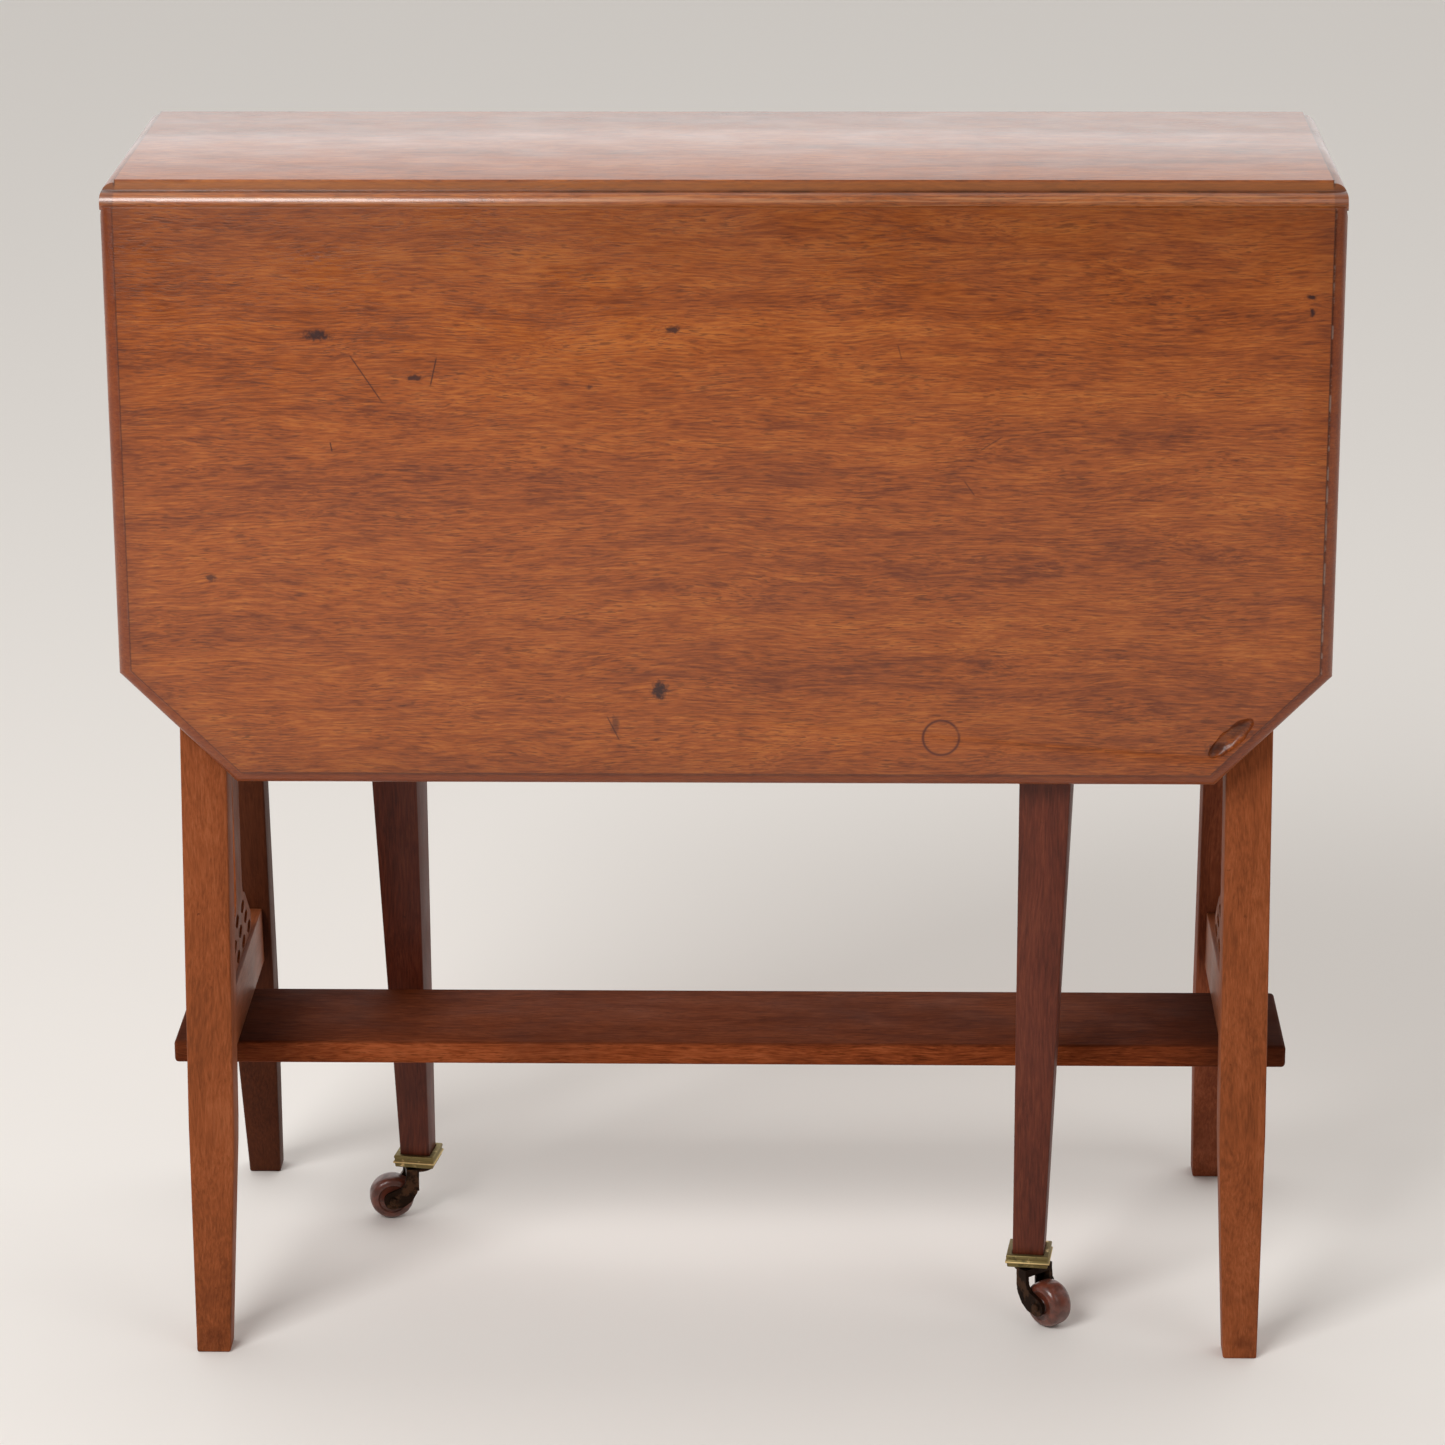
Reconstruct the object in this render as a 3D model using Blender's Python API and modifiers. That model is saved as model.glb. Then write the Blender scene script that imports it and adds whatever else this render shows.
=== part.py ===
"""Drop leaf table of the Sutherland kind, in mahogany.

A narrow fixed top stands on two splayed end frames joined by a low shelf.
Two deep leaves hang from rule joints along its long edges. Under each leaf
a swing leg on a castor turns out on a wooden knuckle joint to hold the leaf.

Metres, +Z up. X runs along the table, the front is -Y, and the origin is on
the floor under the middle of the top. Everything is modelled with the leaves
hanging, the front swing leg a little ajar and the back one closed.
"""

import math

import bmesh
import bpy
from mathutils import Matrix, Vector

MM = 0.001
GAP = 0.3 * MM                 # between pieces that touch

# Top and leaves
TABLE_LENGTH = 700 * MM
TABLE_HEIGHT = 700 * MM
BOARD = 16 * MM                # thickness of the top and of the leaves
HINGE_LINE = 101.5 * MM        # distance of each hinge axis from the middle
FILLET = 6 * MM                # upright step beside the rule joint
OVOLO_RADIUS = 7.5 * MM        # the top's half of the rule joint
COVE_RADIUS = 7.9 * MM         # the leaf's half
LEAF_BOTTOM = 345.5 * MM       # height of a hanging leaf's lower edge
CANT = 66 * MM                 # the corners sawn off each leaf
THUMB_STEP = 1.8 * MM          # quirk of the thumbnail moulding
THUMB_RADIUS = 7.8 * MM
PIN_DEPTH = FILLET + OVOLO_RADIUS
HINGE_HEIGHT = TABLE_HEIGHT - PIN_DEPTH

# End frames
FRAME_X = 305 * MM             # middle of each end frame
LEG_WIDTH = 27 * MM            # along X
LEG_DEPTH = 25 * MM            # along Y
KNEE_HEIGHT = 118 * MM
KNEE_Y = 110.9 * MM
LEG_LEAN = 0.12                # how far a leg leans in per unit of height
FOOT_Y = 138 * MM
FOOT_WIDTH = 20 * MM
FOOT_DEPTH = 18.6 * MM
BEARER_HEIGHT = 20 * MM
BEARER_HALF = 84 * MM
LOW_RAIL_THICK = 17 * MM
LOW_RAIL_TOP = 196 * MM
SPLAT_THICK = 12 * MM
SPLAT_FOOT_HALF = 52 * MM
SPLAT_WAIST_HALF = 24 * MM
SPLAT_STEM_HALF = 14 * MM
SPLAT_HEAD_HALF = 27 * MM

# Shelf
SHELF_HALF_LENGTH = 336 * MM
SHELF_HALF_DEPTH = 46 * MM
SHELF_TOP = 159 * MM
SHELF_THICK = 14 * MM

# Rails under the top, and the swing legs
RAIL_THICK = 18 * MM
RAIL_INNER = 16 * MM           # inner face of each long rail
RAIL_BOTTOM = 618 * MM
ARM_BOTTOM = 628 * MM
ARM_TOP = 672 * MM
TONGUE_LOW = 641.5 * MM        # the knuckle's middle finger, on the arm
TONGUE_HIGH = 658.5 * MM
KNUCKLE_PIN = 3 * MM
BLOCK_LENGTH = 70 * MM
ARM_REACH = 172 * MM           # from the pivot to the swing leg's near side
SWING_OUTER = 73 * MM          # a closed swing leg's outer face
SWING_SQUARE = 33 * MM         # its section at the top
SWING_TAPER_TOP = 420 * MM
SWING_FOOT = 18.5 * MM
SWING_TOP = 682 * MM
CUP_FLOOR = 38.2 * MM

# Castors
CUP_SQUARE = 24.0 * MM
CUP_RIM = 26.6 * MM
CUP_BOTTOM = 36 * MM
CUP_TOP = 44 * MM
CUP_POCKET = 19.3 * MM
WHEEL_RADIUS = 14 * MM
WHEEL_HALF_WIDTH = 8 * MM
TRAIL = 17.5 * MM
CHEEK_INNER = 8.5 * MM
CHEEK_THICK = 2.6 * MM
AXLE_RADIUS = 1.7 * MM
SWIVEL_RADIUS = 2.5 * MM
HORN_TOP = 35.6 * MM
HORN_PLATE = 3.6 * MM

# Leaf hinges
HINGE_X = 255 * MM
HINGE_WIDTH = 34 * MM
HINGE_PLATE = 1.6 * MM
KNUCKLE_RADIUS = 2.4 * MM
HINGE_PIN = 0.95 * MM
TOP_FLAP = 24 * MM
LEAF_FLAP = 52 * MM
MIDDLE_KNUCKLE = 11.8 * MM

# Each side: its sign in Y, the pivot's X, how far the gate stands open at
# rest, how far the leg is turned on its arm, and the castor's heading.
SIDES = {
    "front": {"sign": -1, "pivot_x": 4.5 * MM, "ajar": 7.2, "leg_turn": 0.0, "heading": -48.0},
    "back": {"sign": 1, "pivot_x": -19 * MM, "ajar": 0.0, "leg_turn": -9.0, "heading": 190.0},
}

MAHOGANY = (0.235, 0.075, 0.030)
DARK_MAHOGANY = (0.150, 0.040, 0.020)
BRASS = (0.42, 0.27, 0.10)
IRON = (0.10, 0.075, 0.055)
CERAMIC = (0.12, 0.055, 0.035)
STEEL = (0.30, 0.28, 0.26)


# --- scene and materials ----------------------------------------------------

def clear_scene():
    for obj in list(bpy.data.objects):
        bpy.data.objects.remove(obj, do_unlink=True)


def new_collection(name):
    collection = bpy.data.collections.new(name)
    bpy.context.scene.collection.children.link(collection)
    return collection


def new_material(name, colour, roughness, metallic=0.0):
    material = bpy.data.materials.new(name)
    material.use_nodes = True
    shader = material.node_tree.nodes["Principled BSDF"]
    shader.inputs["Base Color"].default_value = (*colour, 1.0)
    shader.inputs["Roughness"].default_value = roughness
    shader.inputs["Metallic"].default_value = metallic
    return material


clear_scene()
PARTS = new_collection("drop_leaf_table")
CUTTERS = new_collection("cutters")


def finish(obj, material, smooth_angle=None):
    """Files a piece with the parts and gives it its own material."""
    PARTS.objects.link(obj)
    colour, roughness, metallic = material
    obj.data.materials.clear()
    obj.data.materials.append(new_material(obj.name + "_finish", colour, roughness, metallic))
    if smooth_angle is not None:
        obj.data.shade_smooth()
        obj.data.set_sharp_from_angle(angle=math.radians(smooth_angle))
    return obj


def make_cutter(obj):
    CUTTERS.objects.link(obj)
    obj.hide_render = True
    obj.display_type = "WIRE"
    return obj


POLISHED = (MAHOGANY, 0.25, 0.0)
GATE_WOOD = (DARK_MAHOGANY, 0.35, 0.0)
HIDDEN_WOOD = (MAHOGANY, 0.6, 0.0)
BRASSWORK = (BRASS, 0.4, 1.0)
IRONWORK = (IRON, 0.5, 0.8)
STEELWORK = (STEEL, 0.4, 1.0)
GLAZED = (CERAMIC, 0.2, 0.0)


# --- shapes -----------------------------------------------------------------

def mesh_object(name, bm):
    mesh = bpy.data.meshes.new(name)
    bm.to_mesh(mesh)
    bm.free()
    return bpy.data.objects.new(name, mesh)


def block(name, low, high):
    """A box between two corners, its origin at its middle."""
    low, high = Vector(low), Vector(high)
    bm = bmesh.new()
    bmesh.ops.create_cube(bm, size=1.0)
    bmesh.ops.scale(bm, vec=high - low, verts=bm.verts)
    obj = mesh_object(name, bm)
    obj.location = (low + high) / 2
    return obj


def rod(name, radius, low, high, place=(0, 0), sides=24):
    """An upright cylinder between two heights."""
    bm = bmesh.new()
    bmesh.ops.create_cone(bm, cap_ends=True, segments=sides, radius1=radius,
                          radius2=radius, depth=high - low)
    obj = mesh_object(name, bm)
    obj.location = (place[0], place[1], (low + high) / 2)
    return obj


def lying_rod(name, radius, length, centre, sides=16):
    """A cylinder along X."""
    obj = rod(name, radius, -length / 2, length / 2, sides=sides)
    obj.rotation_euler = (0, math.pi / 2, 0)
    obj.location = centre
    return obj


def slab(name, outlines, thickness):
    """Flat outlines in local XY, the later ones holes, given a thickness."""
    curve = bpy.data.curves.new(name, "CURVE")
    curve.dimensions = "2D"
    curve.fill_mode = "BOTH"
    curve.extrude = thickness / 2
    for outline in outlines:
        spline = curve.splines.new("POLY")
        spline.points.add(len(outline) - 1)
        for point, (x, y) in zip(spline.points, outline):
            point.co = (x, y, 0, 1)
        spline.use_cyclic_u = True
    guide = bpy.data.objects.new(name + "_curve", curve)
    bpy.context.scene.collection.objects.link(guide)
    bpy.context.view_layer.update()
    evaluated = guide.evaluated_get(bpy.context.evaluated_depsgraph_get())
    mesh = bpy.data.meshes.new_from_object(evaluated)
    bpy.data.objects.remove(guide, do_unlink=True)
    bm = bmesh.new()
    bm.from_mesh(mesh)
    bmesh.ops.remove_doubles(bm, verts=bm.verts, dist=0.01 * MM)
    bmesh.ops.recalc_face_normals(bm, faces=bm.faces)
    bm.to_mesh(mesh)
    bm.free()
    mesh.name = name
    return bpy.data.objects.new(name, mesh)


ACROSS = (math.pi / 2, 0, math.pi / 2)      # outline (x, y) stands in world (Y, Z)
UPRIGHT = (math.pi / 2, 0, 0)               # outline (x, y) stands in world (X, Z)


def arc(centre, radius, start, end, steps):
    """Points on a circle, angles in degrees."""
    points = []
    for i in range(steps + 1):
        angle = math.radians(start + (end - start) * i / steps)
        points.append((centre[0] + radius * math.cos(angle), centre[1] + radius * math.sin(angle)))
    return points


def turned(name, profile, steps=32):
    """A turned shape about Z from (radius, height) points, top to bottom."""
    bm = bmesh.new()
    verts = [bm.verts.new((radius, 0, height)) for radius, height in profile]
    for first, second in zip(verts, verts[1:]):
        bm.edges.new((first, second))
    obj = mesh_object(name, bm)
    screw = obj.modifiers.new("turn", "SCREW")
    screw.steps = steps
    screw.render_steps = steps
    screw.use_merge_vertices = True
    screw.merge_threshold = 0.01 * MM
    return obj


def ease_edges(obj, width, segments=2, angle=35):
    bevel = obj.modifiers.new("eased_edges", "BEVEL")
    bevel.width = width
    bevel.segments = segments
    bevel.limit_method = "ANGLE"
    bevel.angle_limit = math.radians(angle)
    return obj


def combine(obj, others, operation):
    for other in others:
        boolean = obj.modifiers.new(operation.lower(), "BOOLEAN")
        boolean.operation = operation
        boolean.solver = "EXACT"
        boolean.object = other
    return obj


def cut(obj, *cutters):
    return combine(obj, [make_cutter(c) if not c.users_collection else c for c in cutters],
                   "DIFFERENCE")


def join(obj, *others):
    return combine(obj, [make_cutter(o) if not o.users_collection else o for o in others],
                   "UNION")


def tapered_post(name, stations):
    """A square post through stations of (height, centre, width, depth)."""
    bm = bmesh.new()
    rings = []
    for height, (x, y), width, depth in stations:
        corners = [(-1, -1), (1, -1), (1, 1), (-1, 1)]
        rings.append([bm.verts.new((x + i * width / 2, y + j * depth / 2, height)) for i, j in corners])
    for lower, upper in zip(rings, rings[1:]):
        for i in range(4):
            k = (i + 1) % 4
            bm.faces.new((lower[i], lower[k], upper[k], upper[i]))
    bm.faces.new(list(reversed(rings[0])))
    bm.faces.new(rings[-1])
    return mesh_object(name, bm)


def inset_outline(outline, insets):
    """The outline with each edge moved in by its own distance."""
    lines = []
    count = len(outline)
    for i in range(count):
        a = Vector(outline[i])
        b = Vector(outline[(i + 1) % count])
        along = (b - a).normalized()
        inward = Vector((-along.y, along.x))
        lines.append((a + inward * insets[i], along))
    points = []
    for i in range(count):
        a, u = lines[i - 1]
        b, v = lines[i]
        t = (b - a).cross(v) / u.cross(v)
        points.append(a + u * t)
    return points


def moulded_board(name, outline, moulded, face_z):
    """A board whose moulded edges carry a thumbnail: a quirk, then an ovolo.

    The outline runs counter-clockwise in local XY, with the show face at face_z.
    """
    steps = 6
    profile = [(THUMB_RADIUS, 0.0), (THUMB_RADIUS, THUMB_STEP)]
    for i in range(1, steps + 1):
        angle = math.pi / 2 * i / steps
        profile.append((THUMB_RADIUS * (1 - math.sin(angle)),
                        THUMB_STEP + THUMB_RADIUS * (1 - math.cos(angle))))
    profile.append((0.0, BOARD))
    bm = bmesh.new()
    rings = []
    for inset, depth in profile:
        points = inset_outline(outline, [inset if m else 0.0 for m in moulded])
        verts = [bm.verts.new((p.x, p.y, face_z - depth)) for p in points]
        rings.append(verts)
    for upper, lower in zip(rings, rings[1:]):
        for i in range(len(upper)):
            k = (i + 1) % len(upper)
            bm.faces.new((upper[i], lower[i], lower[k], upper[k]))
    bm.faces.new(rings[0])
    bm.faces.new(list(reversed(rings[-1])))
    bmesh.ops.remove_doubles(bm, verts=bm.verts, dist=0.01 * MM)
    bmesh.ops.recalc_face_normals(bm, faces=bm.faces)
    return mesh_object(name, bm)


def pose(obj, matrix):
    """Moves a piece that is modelled in place by a turn about some line."""
    bpy.context.view_layer.update()
    obj.matrix_world = matrix @ obj.matrix_basis
    return obj


# --- rule joint, top and leaves ---------------------------------------------

def across(name, outline, sign, length):
    """A prism along X from (outward, up) points about a hinge axis."""
    points = [(sign * (HINGE_LINE + out), HINGE_HEIGHT + up) for out, up in outline]
    obj = slab(name, [points], length)
    obj.rotation_euler = ACROSS
    return obj


def top_edge_cutter(side, sign):
    """All that lies outside the fillet and ovolo of one long edge."""
    under = BOARD - PIN_DEPTH
    low_angle = -math.degrees(math.asin(under / OVOLO_RADIUS))
    outline = arc((0, 0), OVOLO_RADIUS, 90, low_angle, 12)
    outline.append((outline[-1][0], -under - 6 * MM))
    outline += [(30 * MM, -under - 6 * MM), (30 * MM, 20 * MM), (0, 20 * MM)]
    return across("rule_cut_" + side, outline, sign, TABLE_LENGTH + 40 * MM)


def cove_cutter(side, sign):
    """All of a hanging leaf's blank that the rule joint takes away."""
    lip = -0.4 * MM
    outline = arc((0, lip), COVE_RADIUS, 0, -90, 10)
    outline += [(-9 * MM, lip - COVE_RADIUS), (-9 * MM, 20 * MM), (25 * MM, 20 * MM), (25 * MM, lip)]
    return across("cove_cut_" + side, outline, sign, TABLE_LENGTH + 40 * MM)


def hinge_positions():
    return {"left": -HINGE_X, "right": HINGE_X}


def hinge_grooves(side, sign, where, x):
    """What one hinge needs cut from the top and from the leaf."""
    slack = 0.3 * MM
    width = HINGE_WIDTH + 2 * slack
    deep = KNUCKLE_RADIUS + 0.5 * MM
    under = BOARD - PIN_DEPTH
    seat = -KNUCKLE_RADIUS + HINGE_PLATE + slack
    reach = TOP_FLAP + slack
    under_low = -under - 3 * MM
    swept = seat + 0.05 * MM
    outline = [(-reach, under_low), (-reach, seat), (-3.3 * MM, seat), (-3.3 * MM, deep), (3.0 * MM, deep),
               (3.0 * MM, swept), (9 * MM, swept), (9 * MM, under_low)]
    in_top = across("groove_" + side + "_" + where, outline, sign, width)
    outline = [(-5 * MM, 1 * MM), (seat, 1 * MM), (seat, -LEAF_FLAP - slack), (-5 * MM, -LEAF_FLAP - slack)]
    in_leaf = across("recess_" + side + "_" + where, outline, sign, width)
    in_top.location.x = x
    in_leaf.location.x = x
    return in_top, in_leaf


def screw_profile(extra):
    """(radius, height) of a countersunk screw whose face is at height 0."""
    head = 2.7 * MM + extra
    shank = 1.2 * MM + extra
    points = [(0, 0.0), (head, 0.0), (shank, -1.5 * MM), (shank, -8 * MM - extra),
              (0, -9.5 * MM - extra)]
    if extra:
        points = [(0, 3 * MM), (head, 3 * MM)] + points[1:]
    return points


def top_screws():
    """Places (X offset, inward distance) of the screws in a top flap."""
    return {"a": (0.0, -15 * MM)}


def leaf_screws():
    return {"b": (-9 * MM, -40 * MM), "c": (9 * MM, -22 * MM)}


def hinge_screws(side, sign, where, x):
    """Names, places and directions of one hinge's screws."""
    spots = []
    face = -KNUCKLE_RADIUS - 0.02 * MM
    for letter, (dx, out) in top_screws().items():
        place = (x + dx, sign * (HINGE_LINE + out), HINGE_HEIGHT + face)
        spots.append(("top", f"screw_{side}_{where}_{letter}", place, (math.pi, 0, 0)))
    for letter, (dx, up) in leaf_screws().items():
        place = (x + dx, sign * (HINGE_LINE + face), HINGE_HEIGHT + up)
        turn = (-sign * math.pi / 2, 0, 0)
        spots.append(("leaf", f"screw_{side}_{where}_{letter}", place, (turn[0] + math.pi, 0, 0)))
    return spots


def build_top(grooves, drillings):
    half_x = TABLE_LENGTH / 2
    half_y = HINGE_LINE + OVOLO_RADIUS + 4 * MM
    outline = [(-half_x, -half_y), (half_x, -half_y), (half_x, half_y), (-half_x, half_y)]
    top = moulded_board("top_panel", outline, [False, True, False, True], 0.0)
    top.location = (0, 0, TABLE_HEIGHT)
    cut(top, *[top_edge_cutter(side, data["sign"]) for side, data in SIDES.items()])
    cut(top, *grooves)
    cut(top, *drillings)
    return finish(top, POLISHED, 30)


def build_leaf(side, sign, recesses, drillings):
    half = TABLE_LENGTH / 2
    low = LEAF_BOTTOM - HINGE_HEIGHT
    outline = [(-half + CANT, low), (half - CANT, low), (half, low + CANT), (half, 6 * MM),
               (-half, 6 * MM), (-half, low + CANT)]
    leaf = moulded_board(side + "_leaf", outline, [True, True, True, False, True, True], PIN_DEPTH)
    leaf.location = (0, sign * HINGE_LINE, HINGE_HEIGHT)
    leaf.rotation_euler = (math.pi / 2, 0, 0 if sign < 0 else math.pi)
    cut(leaf, cove_cutter(side, sign))
    cut(leaf, *recesses)
    cut(leaf, *drillings)
    return finish(leaf, POLISHED, 30)


def curl_outline(down):
    """A hinge flap's knuckle end, (outward, up), with its flap going inward or down."""
    r = KNUCKLE_RADIUS
    inner = -r + HINGE_PLATE
    reach = 6 * MM
    if down:
        curve = arc((0, 0), r, 180, -60, 16)
        return [(-r, -reach)] + curve + [(inner, -2.0 * MM), (inner, -reach)]
    curve = arc((0, 0), r, 270, 510, 16)
    return [(-reach, -r)] + curve + [(-2.0 * MM, inner), (-reach, inner)]


def build_hinge(side, sign, where, x):
    """Two flaps and a pin, in place at one hinge."""
    name = f"hinge_{side}_{where}"
    r = KNUCKLE_RADIUS
    inner = -r + HINGE_PLATE
    half = HINGE_WIDTH / 2
    outer_knuckle = (HINGE_WIDTH - MIDDLE_KNUCKLE) / 2 - GAP
    start = 3.2 * MM

    top_flap = across(name + "_top_flap", [(-TOP_FLAP, -r), (-start, -r), (-start, inner), (-TOP_FLAP, inner)],
                      sign, HINGE_WIDTH)
    top_flap.location.x = x
    curls = []
    for end in (-1, 1):
        curl = across(f"{name}_top_curl_{end + 1}", curl_outline(False), sign, outer_knuckle)
        curl.location.x = x + end * (half - outer_knuckle / 2)
        curls.append(curl)
    join(top_flap, *curls)

    leaf_flap = across(name + "_leaf_flap", [(-r, -LEAF_FLAP), (inner, -LEAF_FLAP), (inner, -start), (-r, -start)],
                       sign, HINGE_WIDTH)
    leaf_flap.location.x = x
    curl = across(name + "_leaf_curl", curl_outline(True), sign, MIDDLE_KNUCKLE)
    curl.location.x = x
    join(leaf_flap, curl)

    axis = (x, sign * HINGE_LINE, HINGE_HEIGHT)
    bore = lying_rod(name + "_bore", HINGE_PIN + GAP, HINGE_WIDTH + 10 * MM, axis)
    cut(top_flap, bore)
    cut(leaf_flap, bore)
    pin = lying_rod(name + "_pin", HINGE_PIN, HINGE_WIDTH - 0.4 * MM, axis, sides=12)
    finish(pin, STEELWORK, 40)
    finish(top_flap, BRASSWORK, 40)
    finish(leaf_flap, BRASSWORK, 40)
    return top_flap, leaf_flap


def build_screw(name, place, turn):
    screw = turned(name, screw_profile(0.0), steps=16)
    screw.location = place
    screw.rotation_euler = turn
    slot = block(name + "_slot", (-4 * MM, -0.45 * MM, -0.6 * MM), (4 * MM, 0.45 * MM, 1 * MM))
    slot.parent = screw
    cut(screw, slot)
    return finish(screw, BRASSWORK, 40)


def build_top_and_leaves():
    grooves = []
    top_drills = []
    for side, data in SIDES.items():
        sign = data["sign"]
        recesses = []
        leaf_drills = []
        for where, x in hinge_positions().items():
            groove, recess = hinge_grooves(side, sign, where, x)
            grooves.append(groove)
            recesses.append(recess)
            top_flap, leaf_flap = build_hinge(side, sign, where, x)
            for board, name, place, turn in hinge_screws(side, sign, where, x):
                drill = turned(name + "_hole", screw_profile(GAP), steps=16)
                drill.location = place
                drill.rotation_euler = turn
                build_screw(name, place, turn)
                if board == "top":
                    cut(top_flap, drill)
                    top_drills.append(drill)
                else:
                    cut(leaf_flap, drill)
                    leaf_drills.append(drill)
        build_leaf(side, sign, recesses, leaf_drills)
    build_top(grooves, top_drills)


# --- end frames and shelf ---------------------------------------------------

def leg_y(height):
    """Distance of a leg's middle from the table's middle, above the knee."""
    return KNEE_Y - LEG_LEAN * (height - KNEE_HEIGHT)


def build_end_leg(name, x, sign):
    top = TABLE_HEIGHT - BOARD - BEARER_HEIGHT - GAP
    knee_low = 96 * MM
    knee_high = 140 * MM
    stations = [
        (0.0, (x, sign * FOOT_Y), FOOT_WIDTH, FOOT_DEPTH),
        (knee_low, (x, sign * (KNEE_Y + 5.2 * MM)), LEG_WIDTH - 1.1 * MM, LEG_DEPTH - 0.9 * MM),
        (KNEE_HEIGHT, (x, sign * (KNEE_Y + 0.8 * MM)), LEG_WIDTH - 0.2 * MM, LEG_DEPTH - 0.1 * MM),
        (knee_high, (x, sign * leg_y(knee_high)), LEG_WIDTH, LEG_DEPTH),
        (top, (x, sign * leg_y(top)), LEG_WIDTH, LEG_DEPTH),
    ]
    leg = tapered_post(name, stations)
    ease_edges(leg, 1.2 * MM, segments=2, angle=50)
    return finish(leg, POLISHED, 30)


def build_low_rail(name, x):
    """The rail that joins two legs and carries the shelf under it."""
    low = SHELF_TOP + GAP
    half_low = leg_y(low) - LEG_DEPTH / 2 - GAP
    half_high = leg_y(LOW_RAIL_TOP) - LEG_DEPTH / 2 - GAP
    outline = [(-half_low, low), (half_low, low), (half_high, LOW_RAIL_TOP), (-half_high, LOW_RAIL_TOP)]
    rail = slab(name, [outline], LOW_RAIL_THICK)
    rail.rotation_euler = ACROSS
    rail.location.x = x
    ease_edges(rail, 0.8 * MM, segments=1)
    return finish(rail, POLISHED, 30)


def leaf_hole(centre, half_length, half_width, tilt):
    """A pointed oval fretted through the splat."""
    points = []
    steps = 4
    for side in (1, -1):
        for i in range(steps):
            t = -1 + 2 * i / steps
            along = t * half_length * side
            out = half_width * (1 - t * t) * side
            angle = math.radians(tilt)
            points.append((centre[0] + along * math.cos(angle) - out * math.sin(angle),
                           centre[1] + along * math.sin(angle) + out * math.cos(angle)))
    return points


def splat_outline():
    """Half of the splat's edge, foot to head, then its mirror."""
    foot = LOW_RAIL_TOP + GAP
    head = TABLE_HEIGHT - BOARD - BEARER_HEIGHT - GAP
    flare = SPLAT_HEAD_HALF - SPLAT_STEM_HALF
    waist = SPLAT_WAIST_HALF - SPLAT_STEM_HALF
    right = [(SPLAT_FOOT_HALF, foot), (SPLAT_FOOT_HALF - 0.6 * MM, foot + 11 * MM)]
    right += [(SPLAT_FOOT_HALF - 5 * MM, foot + 15 * MM), (SPLAT_WAIST_HALF + 4 * MM, foot + 31 * MM)]
    right += arc((SPLAT_WAIST_HALF, foot + 34 * MM + waist), waist, -90, -180, 6)
    right += arc((SPLAT_HEAD_HALF, head - 14 * MM - flare), flare, 180, 90, 6)
    right.append((SPLAT_HEAD_HALF, head))
    return right + [(-y, z) for y, z in reversed(right)]


def build_splat(name, x):
    """The fretted board that stands between the low rail and the bearer."""
    rows = [(201.6 * MM, (-40.5, -13.5, 13.5, 40.5)), (213.0 * MM, (-27, 0, 27)), (224.4 * MM, (-13.5, 13.5))]
    holes = []
    for height, places in rows:
        for k, y in enumerate(places):
            holes.append(leaf_hole((y * MM, height), 8.6 * MM, 4.2 * MM, 0))
    splat = slab(name, [splat_outline()] + holes, SPLAT_THICK)
    splat.rotation_euler = ACROSS
    splat.location.x = x
    return finish(splat, POLISHED, 30)


def build_bearer(name, x):
    top = TABLE_HEIGHT - BOARD - GAP
    low = TABLE_HEIGHT - BOARD - BEARER_HEIGHT
    chamfer = 10 * MM
    outline = [(-BEARER_HALF + chamfer, low), (BEARER_HALF - chamfer, low), (BEARER_HALF, low + chamfer),
               (BEARER_HALF, top), (-BEARER_HALF, top), (-BEARER_HALF, low + chamfer)]
    bearer = slab(name, [outline], LEG_WIDTH)
    bearer.rotation_euler = ACROSS
    bearer.location.x = x
    return finish(bearer, HIDDEN_WOOD, 30)


def build_shelf(drills):
    shelf = block("shelf", (-SHELF_HALF_LENGTH, -SHELF_HALF_DEPTH, SHELF_TOP - SHELF_THICK),
                  (SHELF_HALF_LENGTH, SHELF_HALF_DEPTH, SHELF_TOP))
    ease_edges(shelf, 2.2 * MM, segments=3)
    cut(shelf, *drills)
    return finish(shelf, POLISHED, 30)


def build_end_frames():
    for where, x in {"left": -FRAME_X, "right": FRAME_X}.items():
        for side, data in SIDES.items():
            build_end_leg(f"{side}_{where}_leg", x, data["sign"])
        build_low_rail(where + "_low_rail", x)
        build_splat(where + "_splat", x)
        build_bearer(where + "_bearer", x)
    build_shelf([])


# --- rails, gates and swing legs --------------------------------------------

def build_long_rail(side, sign):
    end = FRAME_X - LEG_WIDTH / 2 - GAP
    near, far = sorted((sign * RAIL_INNER, sign * (RAIL_INNER + RAIL_THICK)))
    rail = block(side + "_long_rail", (-end, near, RAIL_BOTTOM), (end, far, TABLE_HEIGHT - BOARD - GAP))
    ease_edges(rail, 1.0 * MM, segments=1)
    return finish(rail, HIDDEN_WOOD, 30)


def gate_pin_y(sign):
    return sign * (RAIL_INNER + 1.5 * RAIL_THICK + GAP)


def finger(name, centre, low, high, direction):
    """A rounded finger of the knuckle joint, reaching from the pin to one side."""
    radius = RAIL_THICK / 2
    end = 12 * MM
    outline = arc((0, 0), radius, 90, 270, 12) + [(end, -radius), (end, radius)]
    points = [(direction * x, y) for x, y in outline]
    obj = slab(name, [points], high - low)
    obj.location = (centre[0], centre[1], (low + high) / 2)
    return obj


def gate_turn(sign, angle):
    """The turn that opens a gate by some degrees; both open clockwise seen from above."""
    return -math.radians(angle)


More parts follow.
